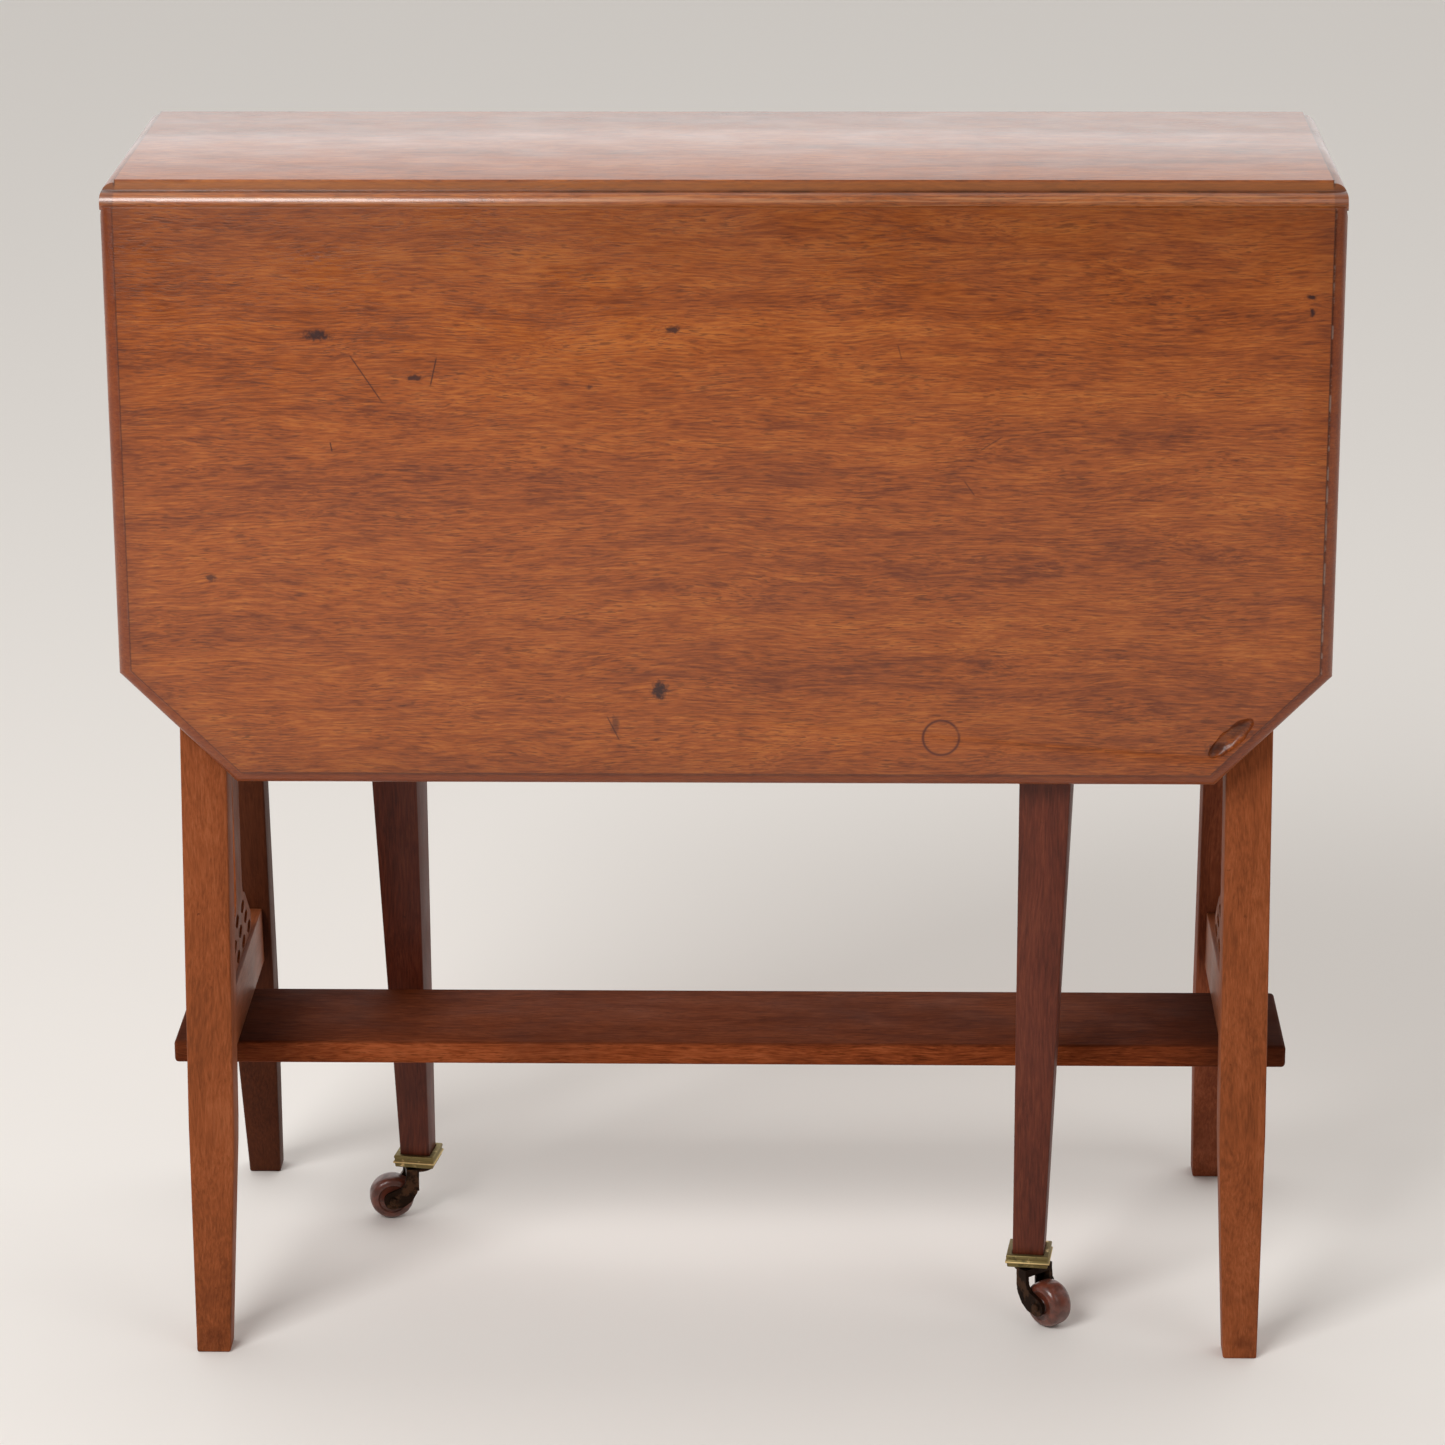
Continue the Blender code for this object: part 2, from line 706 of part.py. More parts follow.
def build_gate(side, data):
    """The fixed block, the arm and the pin of one wooden knuckle joint."""
    sign = data["sign"]
    outward = -sign                     # the front gate points to +X, the back one to -X
    centre = (data["pivot_x"], gate_pin_y(sign))
    half = RAIL_THICK / 2
    clear = half + 0.4 * MM

    def span(x0, x1, low, high, name):
        a, b = sorted((centre[0] + outward * x0, centre[0] + outward * x1))
        return block(name, (a, centre[1] - half, low), (b, centre[1] + half, high))

    fixed = span(-BLOCK_LENGTH, -clear, ARM_BOTTOM, ARM_TOP, side + "_gate_block")
    low_finger = finger(side + "_low_finger", centre, ARM_BOTTOM, TONGUE_LOW - GAP / 2, -outward)
    high_finger = finger(side + "_high_finger", centre, TONGUE_HIGH + GAP / 2, ARM_TOP, -outward)
    join(fixed, low_finger, high_finger)
    bore = rod(side + "_gate_bore", KNUCKLE_PIN + GAP, ARM_BOTTOM - 20 * MM, ARM_TOP + 20 * MM, centre)
    cut(fixed, bore)
    finish(fixed, HIDDEN_WOOD, 30)

    arm = span(clear, ARM_REACH - GAP, ARM_BOTTOM, ARM_TOP, side + "_gate_arm")
    tongue = finger(side + "_tongue", centre, TONGUE_LOW + GAP / 2, TONGUE_HIGH - GAP / 2, outward)
    join(arm, tongue)
    cut(arm, bore)
    finish(arm, GATE_WOOD, 30)

    pin = rod(side + "_gate_pin", KNUCKLE_PIN, ARM_BOTTOM - 3 * MM, ARM_TOP + 3 * MM, centre)
    finish(pin, STEELWORK, 40)
    return arm, tongue


def swing_section(height):
    """Side of the swing leg's square section at some height."""
    share = min(max((SWING_TAPER_TOP - height) / (SWING_TAPER_TOP - CUP_FLOOR), 0.0), 1.0)
    return SWING_SQUARE + (SWING_FOOT - SWING_SQUARE) * share


def swing_centre(data, height):
    """Middle of the closed swing leg: it tapers on its outer side and its back."""
    sign = data["sign"]
    section = swing_section(height)
    x = data["pivot_x"] - sign * (ARM_REACH + section / 2)
    y = sign * (SWING_OUTER - section / 2)
    return (x, y)


def build_swing_leg(side, data):
    stations = []
    for height in (CUP_FLOOR + GAP, SWING_TAPER_TOP, SWING_TOP):
        section = swing_section(height)
        stations.append((height, swing_centre(data, height), section, section))
    leg = tapered_post(side + "_swing_leg", stations)
    ease_edges(leg, 1.0 * MM, segments=2, angle=50)
    return finish(leg, GATE_WOOD, 30)


def build_castor(side, data):
    """Cup and swivel pin on the leg; horn, axle and wheel that turn under it."""
    centre = swing_centre(data, CUP_FLOOR)
    half = CUP_SQUARE / 2
    rim = CUP_RIM / 2
    x, y = centre

    def square(name, reach, low, high):
        return block(name, (x - reach, y - reach, low), (x + reach, y + reach, high))

    cup = square(side + "_castor_cup", half, CUP_BOTTOM, CUP_TOP)
    collar = square(side + "_cup_collar", rim - 0.5 * MM, CUP_TOP - 2.8 * MM, CUP_TOP - 0.2 * MM)
    ease_edges(collar, 0.7 * MM)
    ridge = square(side + "_cup_ridge", rim, CUP_BOTTOM + 2.8 * MM, CUP_BOTTOM + 4.4 * MM)
    pocket = square(side + "_cup_pocket", CUP_POCKET / 2, CUP_FLOOR, CUP_TOP + 5 * MM)
    join(cup, collar, ridge)
    hole = rod(side + "_cup_hole", SWIVEL_RADIUS + GAP, CUP_BOTTOM - 3 * MM, CUP_FLOOR + 2 * MM, centre)
    cut(cup, pocket, hole)
    finish(cup, BRASSWORK, 30)

    plate_low = HORN_TOP - HORN_PLATE
    pin = turned(side + "_swivel_pin", [
        (0, CUP_FLOOR - 0.1 * MM), (SWIVEL_RADIUS, CUP_FLOOR - 0.1 * MM), (SWIVEL_RADIUS, plate_low - GAP),
        (SWIVEL_RADIUS + 1.5 * MM, plate_low - GAP), (SWIVEL_RADIUS + 1.2 * MM, plate_low - 1.5 * MM),
        (0, plate_low - 1.8 * MM)], steps=20)
    pin.location = (x, y, 0)
    finish(pin, STEELWORK, 40)

    # The horn is modelled with its trail along local +X.
    plate = turned(side + "_castor_horn", [
        (0, HORN_TOP), (8.2 * MM, HORN_TOP), (9 * MM, HORN_TOP - 0.8 * MM),
        (9 * MM, HORN_TOP - HORN_PLATE), (0, HORN_TOP - HORN_PLATE)], steps=28)
    width = CHEEK_INNER + CHEEK_THICK
    crown = block(side + "_horn_crown", (0.8 * MM, -width, 30 * MM), (8.7 * MM, width, HORN_TOP - 0.9 * MM))
    crown.parent = plate
    web = block(side + "_horn_web", (0.9 * MM, -width + 0.5 * MM, 20 * MM), (2.9 * MM, width - 0.5 * MM, 31 * MM))
    web.parent = plate
    axle = (TRAIL, WHEEL_RADIUS)
    outline = arc(axle, 5.7 * MM, -110, 60, 10)
    outline += [(12.2 * MM, 22.0 * MM), (9.4 * MM, 25.5 * MM), (8.4 * MM, 33.6 * MM), (0.9 * MM, 33.6 * MM)]
    outline += [(0.9 * MM, 24.0 * MM), (2.2 * MM, 18.8 * MM), (5.6 * MM, 13.2 * MM), (10.6 * MM, 9.6 * MM)]
    cheeks = []
    for k, lateral in enumerate((-1, 1)):
        cheek = slab(f"{side}_cheek_{k}", [outline], CHEEK_THICK)
        cheek.rotation_euler = UPRIGHT
        cheek.location = (0, lateral * (CHEEK_INNER + CHEEK_THICK / 2), 0)
        cheek.parent = plate
        cheeks.append(cheek)
    join(plate, crown, web, *cheeks)
    swivel_bore = rod(side + "_swivel_bore", SWIVEL_RADIUS + GAP, 15 * MM, 45 * MM)
    swivel_bore.parent = plate
    head_bore = rod(side + "_head_bore", SWIVEL_RADIUS + 1.5 * MM + GAP, 15 * MM, plate_low)
    head_bore.parent = plate
    axle_bore = rod(side + "_axle_bore", AXLE_RADIUS + GAP, -20 * MM, 20 * MM, sides=20)
    axle_bore.rotation_euler = (math.pi / 2, 0, 0)
    axle_bore.location = (TRAIL, 0, WHEEL_RADIUS)
    axle_bore.parent = plate
    cut(plate, swivel_bore, head_bore, axle_bore)
    finish(plate, IRONWORK, 35)

    reach = CHEEK_INNER + CHEEK_THICK
    axle_rod = turned(side + "_castor_axle", [
        (0, reach + 1.3 * MM), (AXLE_RADIUS + 0.5 * MM, reach + 1.2 * MM),
        (AXLE_RADIUS + 1.0 * MM, reach + 0.3 * MM), (AXLE_RADIUS, reach + 0.3 * MM),
        (AXLE_RADIUS, -reach - 0.3 * MM), (AXLE_RADIUS + 1.0 * MM, -reach - 0.3 * MM),
        (AXLE_RADIUS + 0.5 * MM, -reach - 1.2 * MM), (0, -reach - 1.3 * MM)], steps=20)
    finish(axle_rod, STEELWORK, 40)

    w = WHEEL_HALF_WIDTH
    r = WHEEL_RADIUS
    bore = AXLE_RADIUS + GAP
    half = [(bore, w), (4.2 * MM, w), (4.8 * MM, w - 0.9 * MM), (8.6 * MM, w - 0.9 * MM)]
    half += arc((r - 4.9 * MM, w - 4.8 * MM), 4.6 * MM, 90, 0, 6)
    half.append((r, 0))
    mirrored = [(radius, -along) for radius, along in reversed(half[:-1])]
    wheel = turned(side + "_castor_wheel", half + mirrored + half[:1], steps=40)
    finish(wheel, GLAZED, 35)
    return cup, pin, plate, axle_rod, wheel


def place_gate(side, data, arm_parts, leg, castor):
    """Turns the leg on its arm, opens the gate to rest and heads the castor."""
    sign = data["sign"]
    pivot = Vector((data["pivot_x"], gate_pin_y(sign), 0))
    top = Vector((*swing_centre(data, SWING_TOP), 0))
    opened = (Matrix.Translation(pivot) @ Matrix.Rotation(gate_turn(sign, data["ajar"]), 4, "Z")
              @ Matrix.Translation(-pivot))
    turned_leg = (Matrix.Translation(top) @ Matrix.Rotation(math.radians(data["leg_turn"]), 4, "Z")
                  @ Matrix.Translation(-top))
    on_leg = opened @ turned_leg
    foot = Vector((*swing_centre(data, CUP_FLOOR), 0))
    cup, pin, horn, axle, wheel = castor
    for obj in arm_parts:
        pose(obj, opened)
    for obj in CUTTERS.objects:
        if obj.name.startswith((side + "_cup_",)):
            pose(obj, on_leg)
    for obj in (leg, cup, pin):
        pose(obj, on_leg)
    swivel = on_leg @ foot
    heading = Matrix.Rotation(math.radians(data["heading"]), 4, "Z")
    horn.matrix_world = Matrix.Translation(swivel) @ heading
    hub = Matrix.Translation(swivel) @ heading @ Matrix.Translation((TRAIL, 0, WHEEL_RADIUS))
    across_fork = hub @ Matrix.Rotation(math.pi / 2, 4, "X")
    axle.matrix_world = across_fork
    wheel.matrix_world = across_fork


build_top_and_leaves()
build_end_frames()
for side_name, side_data in SIDES.items():
    build_long_rail(side_name, side_data["sign"])
    arm_pieces = build_gate(side_name, side_data)
    swing = build_swing_leg(side_name, side_data)
    place_gate(side_name, side_data, arm_pieces, swing, build_castor(side_name, side_data))
bpy.context.view_layer.update()
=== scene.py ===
# %% [markdown]
# # A drop leaf table in French-polished mahogany
#
# The table is a narrow one with two deep leaves, of the kind called a
# Sutherland table. Its CAD frame gives every dimension. This lesson puts the
# joiner's work over it: moulded boards, eased legs, brass castors, and a
# polish that has had a century of use.

import math

import bmesh
import bpy
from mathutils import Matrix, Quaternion, Vector


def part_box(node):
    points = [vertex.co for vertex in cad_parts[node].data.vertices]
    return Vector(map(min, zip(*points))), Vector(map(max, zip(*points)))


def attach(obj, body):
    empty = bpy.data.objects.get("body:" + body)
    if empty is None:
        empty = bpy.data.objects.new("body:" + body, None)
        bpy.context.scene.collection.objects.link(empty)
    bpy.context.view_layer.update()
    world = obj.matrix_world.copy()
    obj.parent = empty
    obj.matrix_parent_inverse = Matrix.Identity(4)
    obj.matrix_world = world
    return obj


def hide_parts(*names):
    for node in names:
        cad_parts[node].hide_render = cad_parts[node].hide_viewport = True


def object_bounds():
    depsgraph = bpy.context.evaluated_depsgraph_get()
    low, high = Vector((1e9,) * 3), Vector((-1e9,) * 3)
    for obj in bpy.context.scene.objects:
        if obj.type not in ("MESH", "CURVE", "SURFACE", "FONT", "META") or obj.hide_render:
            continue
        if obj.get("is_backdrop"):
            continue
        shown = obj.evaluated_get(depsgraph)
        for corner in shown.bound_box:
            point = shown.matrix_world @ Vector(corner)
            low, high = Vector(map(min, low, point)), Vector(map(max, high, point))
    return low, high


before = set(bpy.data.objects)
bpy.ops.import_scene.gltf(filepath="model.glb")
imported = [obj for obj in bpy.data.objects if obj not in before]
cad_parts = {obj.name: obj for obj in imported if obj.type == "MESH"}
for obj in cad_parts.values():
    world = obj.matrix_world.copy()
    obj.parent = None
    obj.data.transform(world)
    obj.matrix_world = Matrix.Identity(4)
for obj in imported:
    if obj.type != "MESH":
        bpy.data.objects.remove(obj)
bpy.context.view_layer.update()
MM = 0.001

# %% [markdown]
# Every piece below is modelled in edit mode with the ordinary operators. An
# operator acts on whatever is selected, so these helpers select things first:
# a whole object, or the faces whose place or direction passes a test.


# %% Helpers for selecting and shaping
def only(obj):
    """Makes one object the selected and the active one."""
    bpy.ops.object.select_all(action="DESELECT")
    obj.select_set(True)
    bpy.context.view_layer.objects.active = obj
    return obj


def edit(obj):
    only(obj)
    bpy.ops.object.mode_set(mode="EDIT")


def done():
    bpy.ops.object.mode_set(mode="OBJECT")


def pick_faces(test):
    """In edit mode, selects the faces whose middle and normal pass a test."""
    bpy.ops.mesh.select_mode(type="FACE")
    bpy.ops.mesh.select_all(action="DESELECT")
    data = bpy.context.edit_object.data
    mesh = bmesh.from_edit_mesh(data)
    for face in mesh.faces:
        face.select_set(bool(test(face.calc_center_median(), face.normal)))
    bmesh.update_edit_mesh(data)


def place_applied(obj):
    only(obj)
    bpy.ops.object.transform_apply(location=True, rotation=True, scale=True)
    return obj


def box(name, low, high):
    """A box between two corners, its place in its mesh."""
    low, high = Vector(low), Vector(high)
    bpy.ops.object.select_all(action="DESELECT")
    bpy.ops.mesh.primitive_cube_add(size=1, location=(low + high) / 2, scale=high - low)
    obj = bpy.context.object
    obj.name = obj.data.name = name
    return place_applied(obj)


def rod(name, radius, length, middle, axis="Z", sides=64):
    """A cylinder along one axis, its place in its mesh."""
    turns = {"X": (0, math.pi / 2, 0), "Y": (math.pi / 2, 0, 0), "Z": (0, 0, 0)}
    bpy.ops.object.select_all(action="DESELECT")
    bpy.ops.mesh.primitive_cylinder_add(vertices=sides, radius=radius, depth=length,
                                        location=middle, rotation=turns[axis])
    obj = bpy.context.object
    obj.name = obj.data.name = name
    return place_applied(obj)


def apply_modifier(obj, kind, **settings):
    only(obj)
    modifier = obj.modifiers.new("step", kind)
    for key, value in settings.items():
        setattr(modifier, key, value)
    bpy.ops.object.modifier_apply(modifier=modifier.name)
    return obj


def carve(obj, cutter, operation="DIFFERENCE"):
    """Cuts, joins or intersects, and throws the cutter away."""
    apply_modifier(obj, "BOOLEAN", object=cutter, operation=operation, solver="EXACT")
    bpy.data.objects.remove(cutter, do_unlink=True)
    return obj


def soften(obj, width, segments=3, angle=40):
    """Takes the sharpness off the arrises, as a maker does with a scrap of glasspaper."""
    return apply_modifier(obj, "BEVEL", width=width, segments=segments, limit_method="ANGLE",
                          angle_limit=math.radians(angle), harden_normals=False)


def smooth(obj, angle=35):
    only(obj)
    bpy.ops.object.shade_smooth_by_angle(angle=math.radians(angle))
    return obj


def half_turn(obj):
    """Turns a piece half round about the table's upright middle line."""
    edit(obj)
    bpy.ops.mesh.select_all(action="SELECT")
    bpy.ops.transform.rotate(value=math.pi, orient_axis="Z", center_override=(0, 0, 0))
    done()
    return obj


def copy_of(obj, name):
    only(obj)
    bpy.ops.object.duplicate()
    twin = bpy.context.object
    twin.name = twin.data.name = name
    return twin


print("helpers ready")

# %% [markdown]
# The frame is the drawing to work from. Its boxes give the sizes of the
# boards, so nothing is measured twice.

# %% Dimensions taken from the frame
top_low, top_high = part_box("top_panel")
leaf_low, leaf_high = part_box("front_leaf")
HALF_LENGTH = top_high.x
TOP_HEIGHT = top_high.z
BOARD = top_high.z - top_low.z
OVOLO = 7.5 * MM
COVE = 7.9 * MM
FILLET = 6.0 * MM
HINGE_LINE = top_high.y - OVOLO
HINGE_HEIGHT = TOP_HEIGHT - FILLET - OVOLO
LIP = 0.4 * MM
THUMB_STEP = 1.8 * MM
THUMB = 7.8 * MM
HINGE_SLACK = 0.3 * MM
CANT = 66 * MM
LEAF_FACE = -leaf_low.y
LEAF_BOTTOM = leaf_low.z
print("hinge line", round(HINGE_LINE / MM, 2), "mm out and", round(HINGE_HEIGHT / MM, 2), "mm up")

# %% [markdown]
# ## The boards
#
# The free edges of the leaves and the ends of the top carry a thumbnail
# moulding: a small upright step, called a quirk, and below it a quarter
# round. A loft of profiles would do it, but the plane's own order of work is
# shorter: inset the show face, lift it by the quirk, and round over the rim
# that is left.


# %% A board with a thumbnail moulding
def thumbnail(board, outward):
    """Moulds the rim of a board's show face, which looks along outward."""
    outward = Vector(outward)
    edit(board)
    pick_faces(lambda middle, normal: normal.dot(outward) > 0.99)
    bpy.ops.mesh.inset(thickness=THUMB, use_even_offset=True)
    bpy.ops.mesh.extrude_region_move(TRANSFORM_OT_translate={"value": outward * THUMB_STEP})
    mesh = bmesh.from_edit_mesh(board.data)
    rim = max(v.co.dot(outward) for v in mesh.verts) - THUMB_STEP
    outer = []
    for edge in mesh.edges:
        if all(abs(v.co.dot(outward) - rim) < 1e-5 for v in edge.verts):
            outer.append(any(f.normal.dot(outward) < 0.01 and
                             all(v.co.dot(outward) < rim + 1e-5 for v in f.verts) for f in edge.link_faces))
        else:
            outer.append(False)
    bpy.ops.mesh.select_mode(type="EDGE")
    bpy.ops.mesh.select_all(action="DESELECT")
    for edge, chosen in zip(mesh.edges, outer):
        edge.select_set(chosen)
    bmesh.update_edit_mesh(board.data)
    bpy.ops.mesh.bevel(offset=THUMB * 0.97, segments=10, profile=0.5, clamp_overlap=False)
    done()
    return board


def hinge_places():
    """Each hinge's middle along X, read from its flaps in the frame."""
    places = {}
    for side in ("front", "back"):
        for where in ("left", "right"):
            low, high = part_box(f"hinge_{side}_{where}_leaf_flap")
            places[side, where] = (low.x, high.x)
    return places


HINGES = hinge_places()
print("hinges at", {k: round((a + b) / 2 / MM) for k, (a, b) in HINGES.items()})

# %% [markdown]
# ## The top
#
# Each long edge of the top is the tongue of a rule joint: an upright fillet,
# then a quarter round centred on the hinge pin, so that the leaf's hollow can
# slide round it. A slab with a rod along each hinge line has just that
# outline, and a moulded blank cut by it gets its ends and sides together.


# %% The top board
def rule_outline():
    slab = box("rule_slab", (-HALF_LENGTH - 0.02, -HINGE_LINE, top_low.z - 0.01),
               (HALF_LENGTH + 0.02, HINGE_LINE, TOP_HEIGHT + 0.01))
    for sign in (-1, 1):
        nosing = rod("nosing", OVOLO, 2 * HALF_LENGTH + 0.04, (0, sign * HINGE_LINE, HINGE_HEIGHT), "X", 96)
        carve(slab, nosing, "UNION")
    return slab


def cut_hinge_beds(board, side, sign):
    """Lets the hinges' flaps and knuckles into the underside."""
    under = top_low.z - 4 * MM
    seat = HINGE_HEIGHT - 0.5 * MM
    cuts = ((-24.3, -3.0, seat), (-3.3, 3.0, HINGE_HEIGHT + 2.9 * MM), (2.8, 9.5, seat + 0.05 * MM))
    for where in ("left", "right"):
        start, end = HINGES[side, where]
        for inner, outer, height in cuts:
            ys = sorted((sign * (HINGE_LINE + inner * MM), sign * (HINGE_LINE + outer * MM)))
            carve(board, box("bed", (start - HINGE_SLACK, ys[0], under),
                             (end + HINGE_SLACK, ys[1], height)))


margin = 12 * MM
top = box("table_top", (-HALF_LENGTH, -HINGE_LINE - OVOLO - margin, top_low.z),
          (HALF_LENGTH, HINGE_LINE + OVOLO + margin, TOP_HEIGHT - THUMB_STEP))
thumbnail(top, (0, 0, 1))
carve(top, rule_outline(), "INTERSECT")
for side, sign in (("front", -1), ("back", 1)):
    cut_hinge_beds(top, side, sign)
soften(top, 0.45 * MM, 2, 35)
smooth(top)
print("top:", len(top.data.polygons), "faces")

# %% [markdown]
# ## The leaves
#
# A leaf hangs upright with its show face out. Its lower corners are sawn off
# before the edge is moulded, so the moulding runs round them. The upper edge
# is hollowed to ride on the top's quarter round. The front leaf has lost a
# splinter of moulding at its lower right corner, so a rough lump is cut away
# there.


# %% The leaves
def build_leaf(name):
    """The front leaf, hanging; the back one is this turned half round."""
    inner = LEAF_FACE - BOARD
    leaf = box(name, (-HALF_LENGTH, -LEAF_FACE + THUMB_STEP, LEAF_BOTTOM),
               (HALF_LENGTH, -inner, HINGE_HEIGHT + 14 * MM))
    edit(leaf)
    for sign in (-1, 1):
        bpy.ops.mesh.select_all(action="SELECT")
        bpy.ops.mesh.bisect(plane_co=(sign * (HALF_LENGTH - CANT), 0, LEAF_BOTTOM), plane_no=(sign, 0, -1),
                            use_fill=True, clear_outer=True)
    done()
    thumbnail(leaf, (0, -1, 0))
    hollow = rod("hollow", COVE, 2 * HALF_LENGTH + 0.04, (0, -HINGE_LINE, HINGE_HEIGHT - LIP), "X", 96)
    behind = box("behind", (-HALF_LENGTH - 0.02, -HINGE_LINE, HINGE_HEIGHT - LIP - COVE),
                 (HALF_LENGTH + 0.02, -HINGE_LINE + 9 * MM, HINGE_HEIGHT + 20 * MM))
    above = box("above", (-HALF_LENGTH - 0.03, -LEAF_FACE - 0.01, HINGE_HEIGHT - LIP),
                (HALF_LENGTH + 0.03, -HINGE_LINE + 0.02, HINGE_HEIGHT + 30 * MM))
    carve(leaf, above)
    carve(leaf, hollow)
    carve(leaf, behind)
    for where in ("left", "right"):
        start, end = HINGES["front", where]
        bed = box("bed", (start - HINGE_SLACK, -HINGE_LINE + 0.5 * MM, HINGE_HEIGHT - 52.3 * MM),
                  (end + HINGE_SLACK, -HINGE_LINE + 5 * MM, HINGE_HEIGHT + 1 * MM))
        carve(leaf, bed)
    return leaf


front_leaf = build_leaf("leaf_front")
back_leaf = half_turn(copy_of(front_leaf, "leaf_back"))
bpy.ops.mesh.primitive_ico_sphere_add(subdivisions=4, radius=1, location=(0, 0, 0))
splinter = bpy.context.object
splinter.scale = (17 * MM, 4.8 * MM, 6.0 * MM)
splinter.rotation_euler = (0, math.radians(-43), 0)
splinter.location = (292.5 * MM, -LEAF_FACE + 0.6 * MM, 376.5 * MM)
place_applied(splinter)
rough = bpy.data.textures.new("splinter_rough", "CLOUDS")
rough.noise_scale = 6 * MM
apply_modifier(splinter, "DISPLACE", texture=rough, texture_coords="LOCAL", strength=2.4 * MM,
               mid_level=0.5)
carve(front_leaf, splinter)
for leaf in (front_leaf, back_leaf):
    soften(leaf, 0.4 * MM, 2, 38)
    smooth(leaf)
print("leaves:", [len(leaf.data.polygons) for leaf in (front_leaf, back_leaf)], "faces")

# %% [markdown]
# ## The legs
#
# An end leg is straight down to a knee, then kicks outward and tapers. The
# joiner cuts it from one board. Here a square is drawn down through a few
# stations with extrude, move and scale, and its arrises are eased at the end.

# %% The end legs
FRAME_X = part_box("front_right_leg")[0].x + 13.5 * MM
LEG_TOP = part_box("front_right_leg")[1].z
LEG_WIDTH = 27 * MM
LEG_DEPTH = 25 * MM
KNEE = (118 * MM, 110.9 * MM)
FOOT = (138 * MM, 20 * MM, 18.6 * MM)
LEAN = 0.12
KNEE_REACH = 26 * MM


def leg_stations():
    """(height, middle's Y, width, depth) from the foot up, smooth through the knee."""
    knee_z, knee_y = KNEE
    foot_y, foot_w, foot_d = FOOT
    stations = []
    for z in (0, 40, 75, 92, 104, 118, 132, 144):
        height = z * MM
        if height >= knee_z + KNEE_REACH:
            y, share = knee_y - LEAN * (height - knee_z), 1.0
        else:
            share = min(height / (knee_z + 10 * MM), 1.0)
            lower = foot_y + (knee_y - foot_y) * height / knee_z
            upper = knee_y - LEAN * (height - knee_z)
            knee_share = min(max((height - knee_z + KNEE_REACH) / (2 * KNEE_REACH), 0), 1)
            knee_share = knee_share * knee_share * (3 - 2 * knee_share)
            y = lower + (upper - lower) * knee_share
        stations.append((height, y, foot_w + (LEG_WIDTH - foot_w) * share,
                         foot_d + (LEG_DEPTH - foot_d) * share))
    stations.append((LEG_TOP, knee_y - LEAN * (LEG_TOP - knee_z), LEG_WIDTH, LEG_DEPTH))
    return stations


def draw_post(name, stations):
    """A square post through stations of (height, x, y, width, depth), from the foot up."""
    height, x, y, width, depth = stations[0]
    bpy.ops.object.select_all(action="DESELECT")
    bpy.ops.mesh.primitive_plane_add(size=1, location=(x, y, height), scale=(1, 1, 1))
    post = bpy.context.object
    post.name = post.data.name = name
    post.scale = (width, depth, 1)
    place_applied(post)
    edit(post)
    bpy.ops.mesh.select_all(action="SELECT")
    for last, here in zip(stations, stations[1:]):
        move = (here[1] - last[1], here[2] - last[2], here[0] - last[0])
        bpy.ops.mesh.extrude_region_move(TRANSFORM_OT_translate={"value": move})
        bpy.ops.transform.resize(value=(here[3] / last[3], here[4] / last[4], 1),
                                 center_override=(here[1], here[2], here[0]))
    bpy.ops.mesh.select_all(action="SELECT")
    bpy.ops.mesh.normals_make_consistent(inside=False)
    done()
    return post


legs = {}
for side, sign in (("front", -1), ("back", 1)):
    for where, x in (("left", -FRAME_X), ("right", FRAME_X)):
        leg = draw_post(f"leg_{side}_{where}", [(z, x, sign * y, w, d) for z, y, w, d in leg_stations()])
        soften(leg, 1.3 * MM, 3, 50)
        legs[side, where] = smooth(leg)
print("legs:", [round(v / MM, 1) for v in legs["front", "left"].dimensions])

# %% [markdown]
# ## The shelf and the low rails
#
# The shelf is one thin board whose long edges are eased by hand. The low
# rails stand on it, their ends cut to the slope of the legs.

# %% Shelf and low rails
shelf = box("shelf_board", *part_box("shelf"))
soften(shelf, 2.4 * MM, 4, 50)
smooth(shelf)

RAIL_LOW, RAIL_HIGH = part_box("right_low_rail")


def build_low_rail(name, middle):
    half = (RAIL_HIGH.x - RAIL_LOW.x) / 2
    rail = box(name, (middle - half, RAIL_LOW.y, RAIL_LOW.z), (middle + half, RAIL_HIGH.y, RAIL_HIGH.z))
    edit(rail)
    for sign in (-1, 1):
        bpy.ops.mesh.select_all(action="SELECT")
        bpy.ops.mesh.bisect(plane_co=(0, sign * RAIL_HIGH.y, RAIL_LOW.z), plane_no=(0, sign, LEAN),
                            use_fill=True, clear_outer=True)
    done()
    soften(rail, 0.8 * MM, 2, 50)
    return smooth(rail)


low_rails = {where: build_low_rail("low_rail_" + where, x)
             for where, x in (("left", -FRAME_X), ("right", FRAME_X))}
print("shelf and rails:", len(shelf.data.polygons), "faces on the shelf")

# %% [markdown]
# ## The swing legs
#
# Each swing leg tapers from below the gate arm to its castor, on the side
# away from the leaf and the side away from the gate's pin. It is drawn where
# it stands when its gate is closed, and then turned to where it rests.

# %% Swing legs
SIDES = {
    "front": {"sign": -1, "ajar": -7.2, "leg_turn": 0.0, "heading": -48.0},
    "back": {"sign": 1, "ajar": 0.0, "leg_turn": -9.0, "heading": 190.0},
}
ARM_REACH = 172 * MM
SWING_FACE = 73 * MM
SWING_SQUARE = 33 * MM
SWING_FOOT = 18.5 * MM
TAPER_TOP = 420 * MM
CUP_FLOOR = 38.2 * MM


def pin_place(node):
    low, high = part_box(node)
    return (low + high) / 2


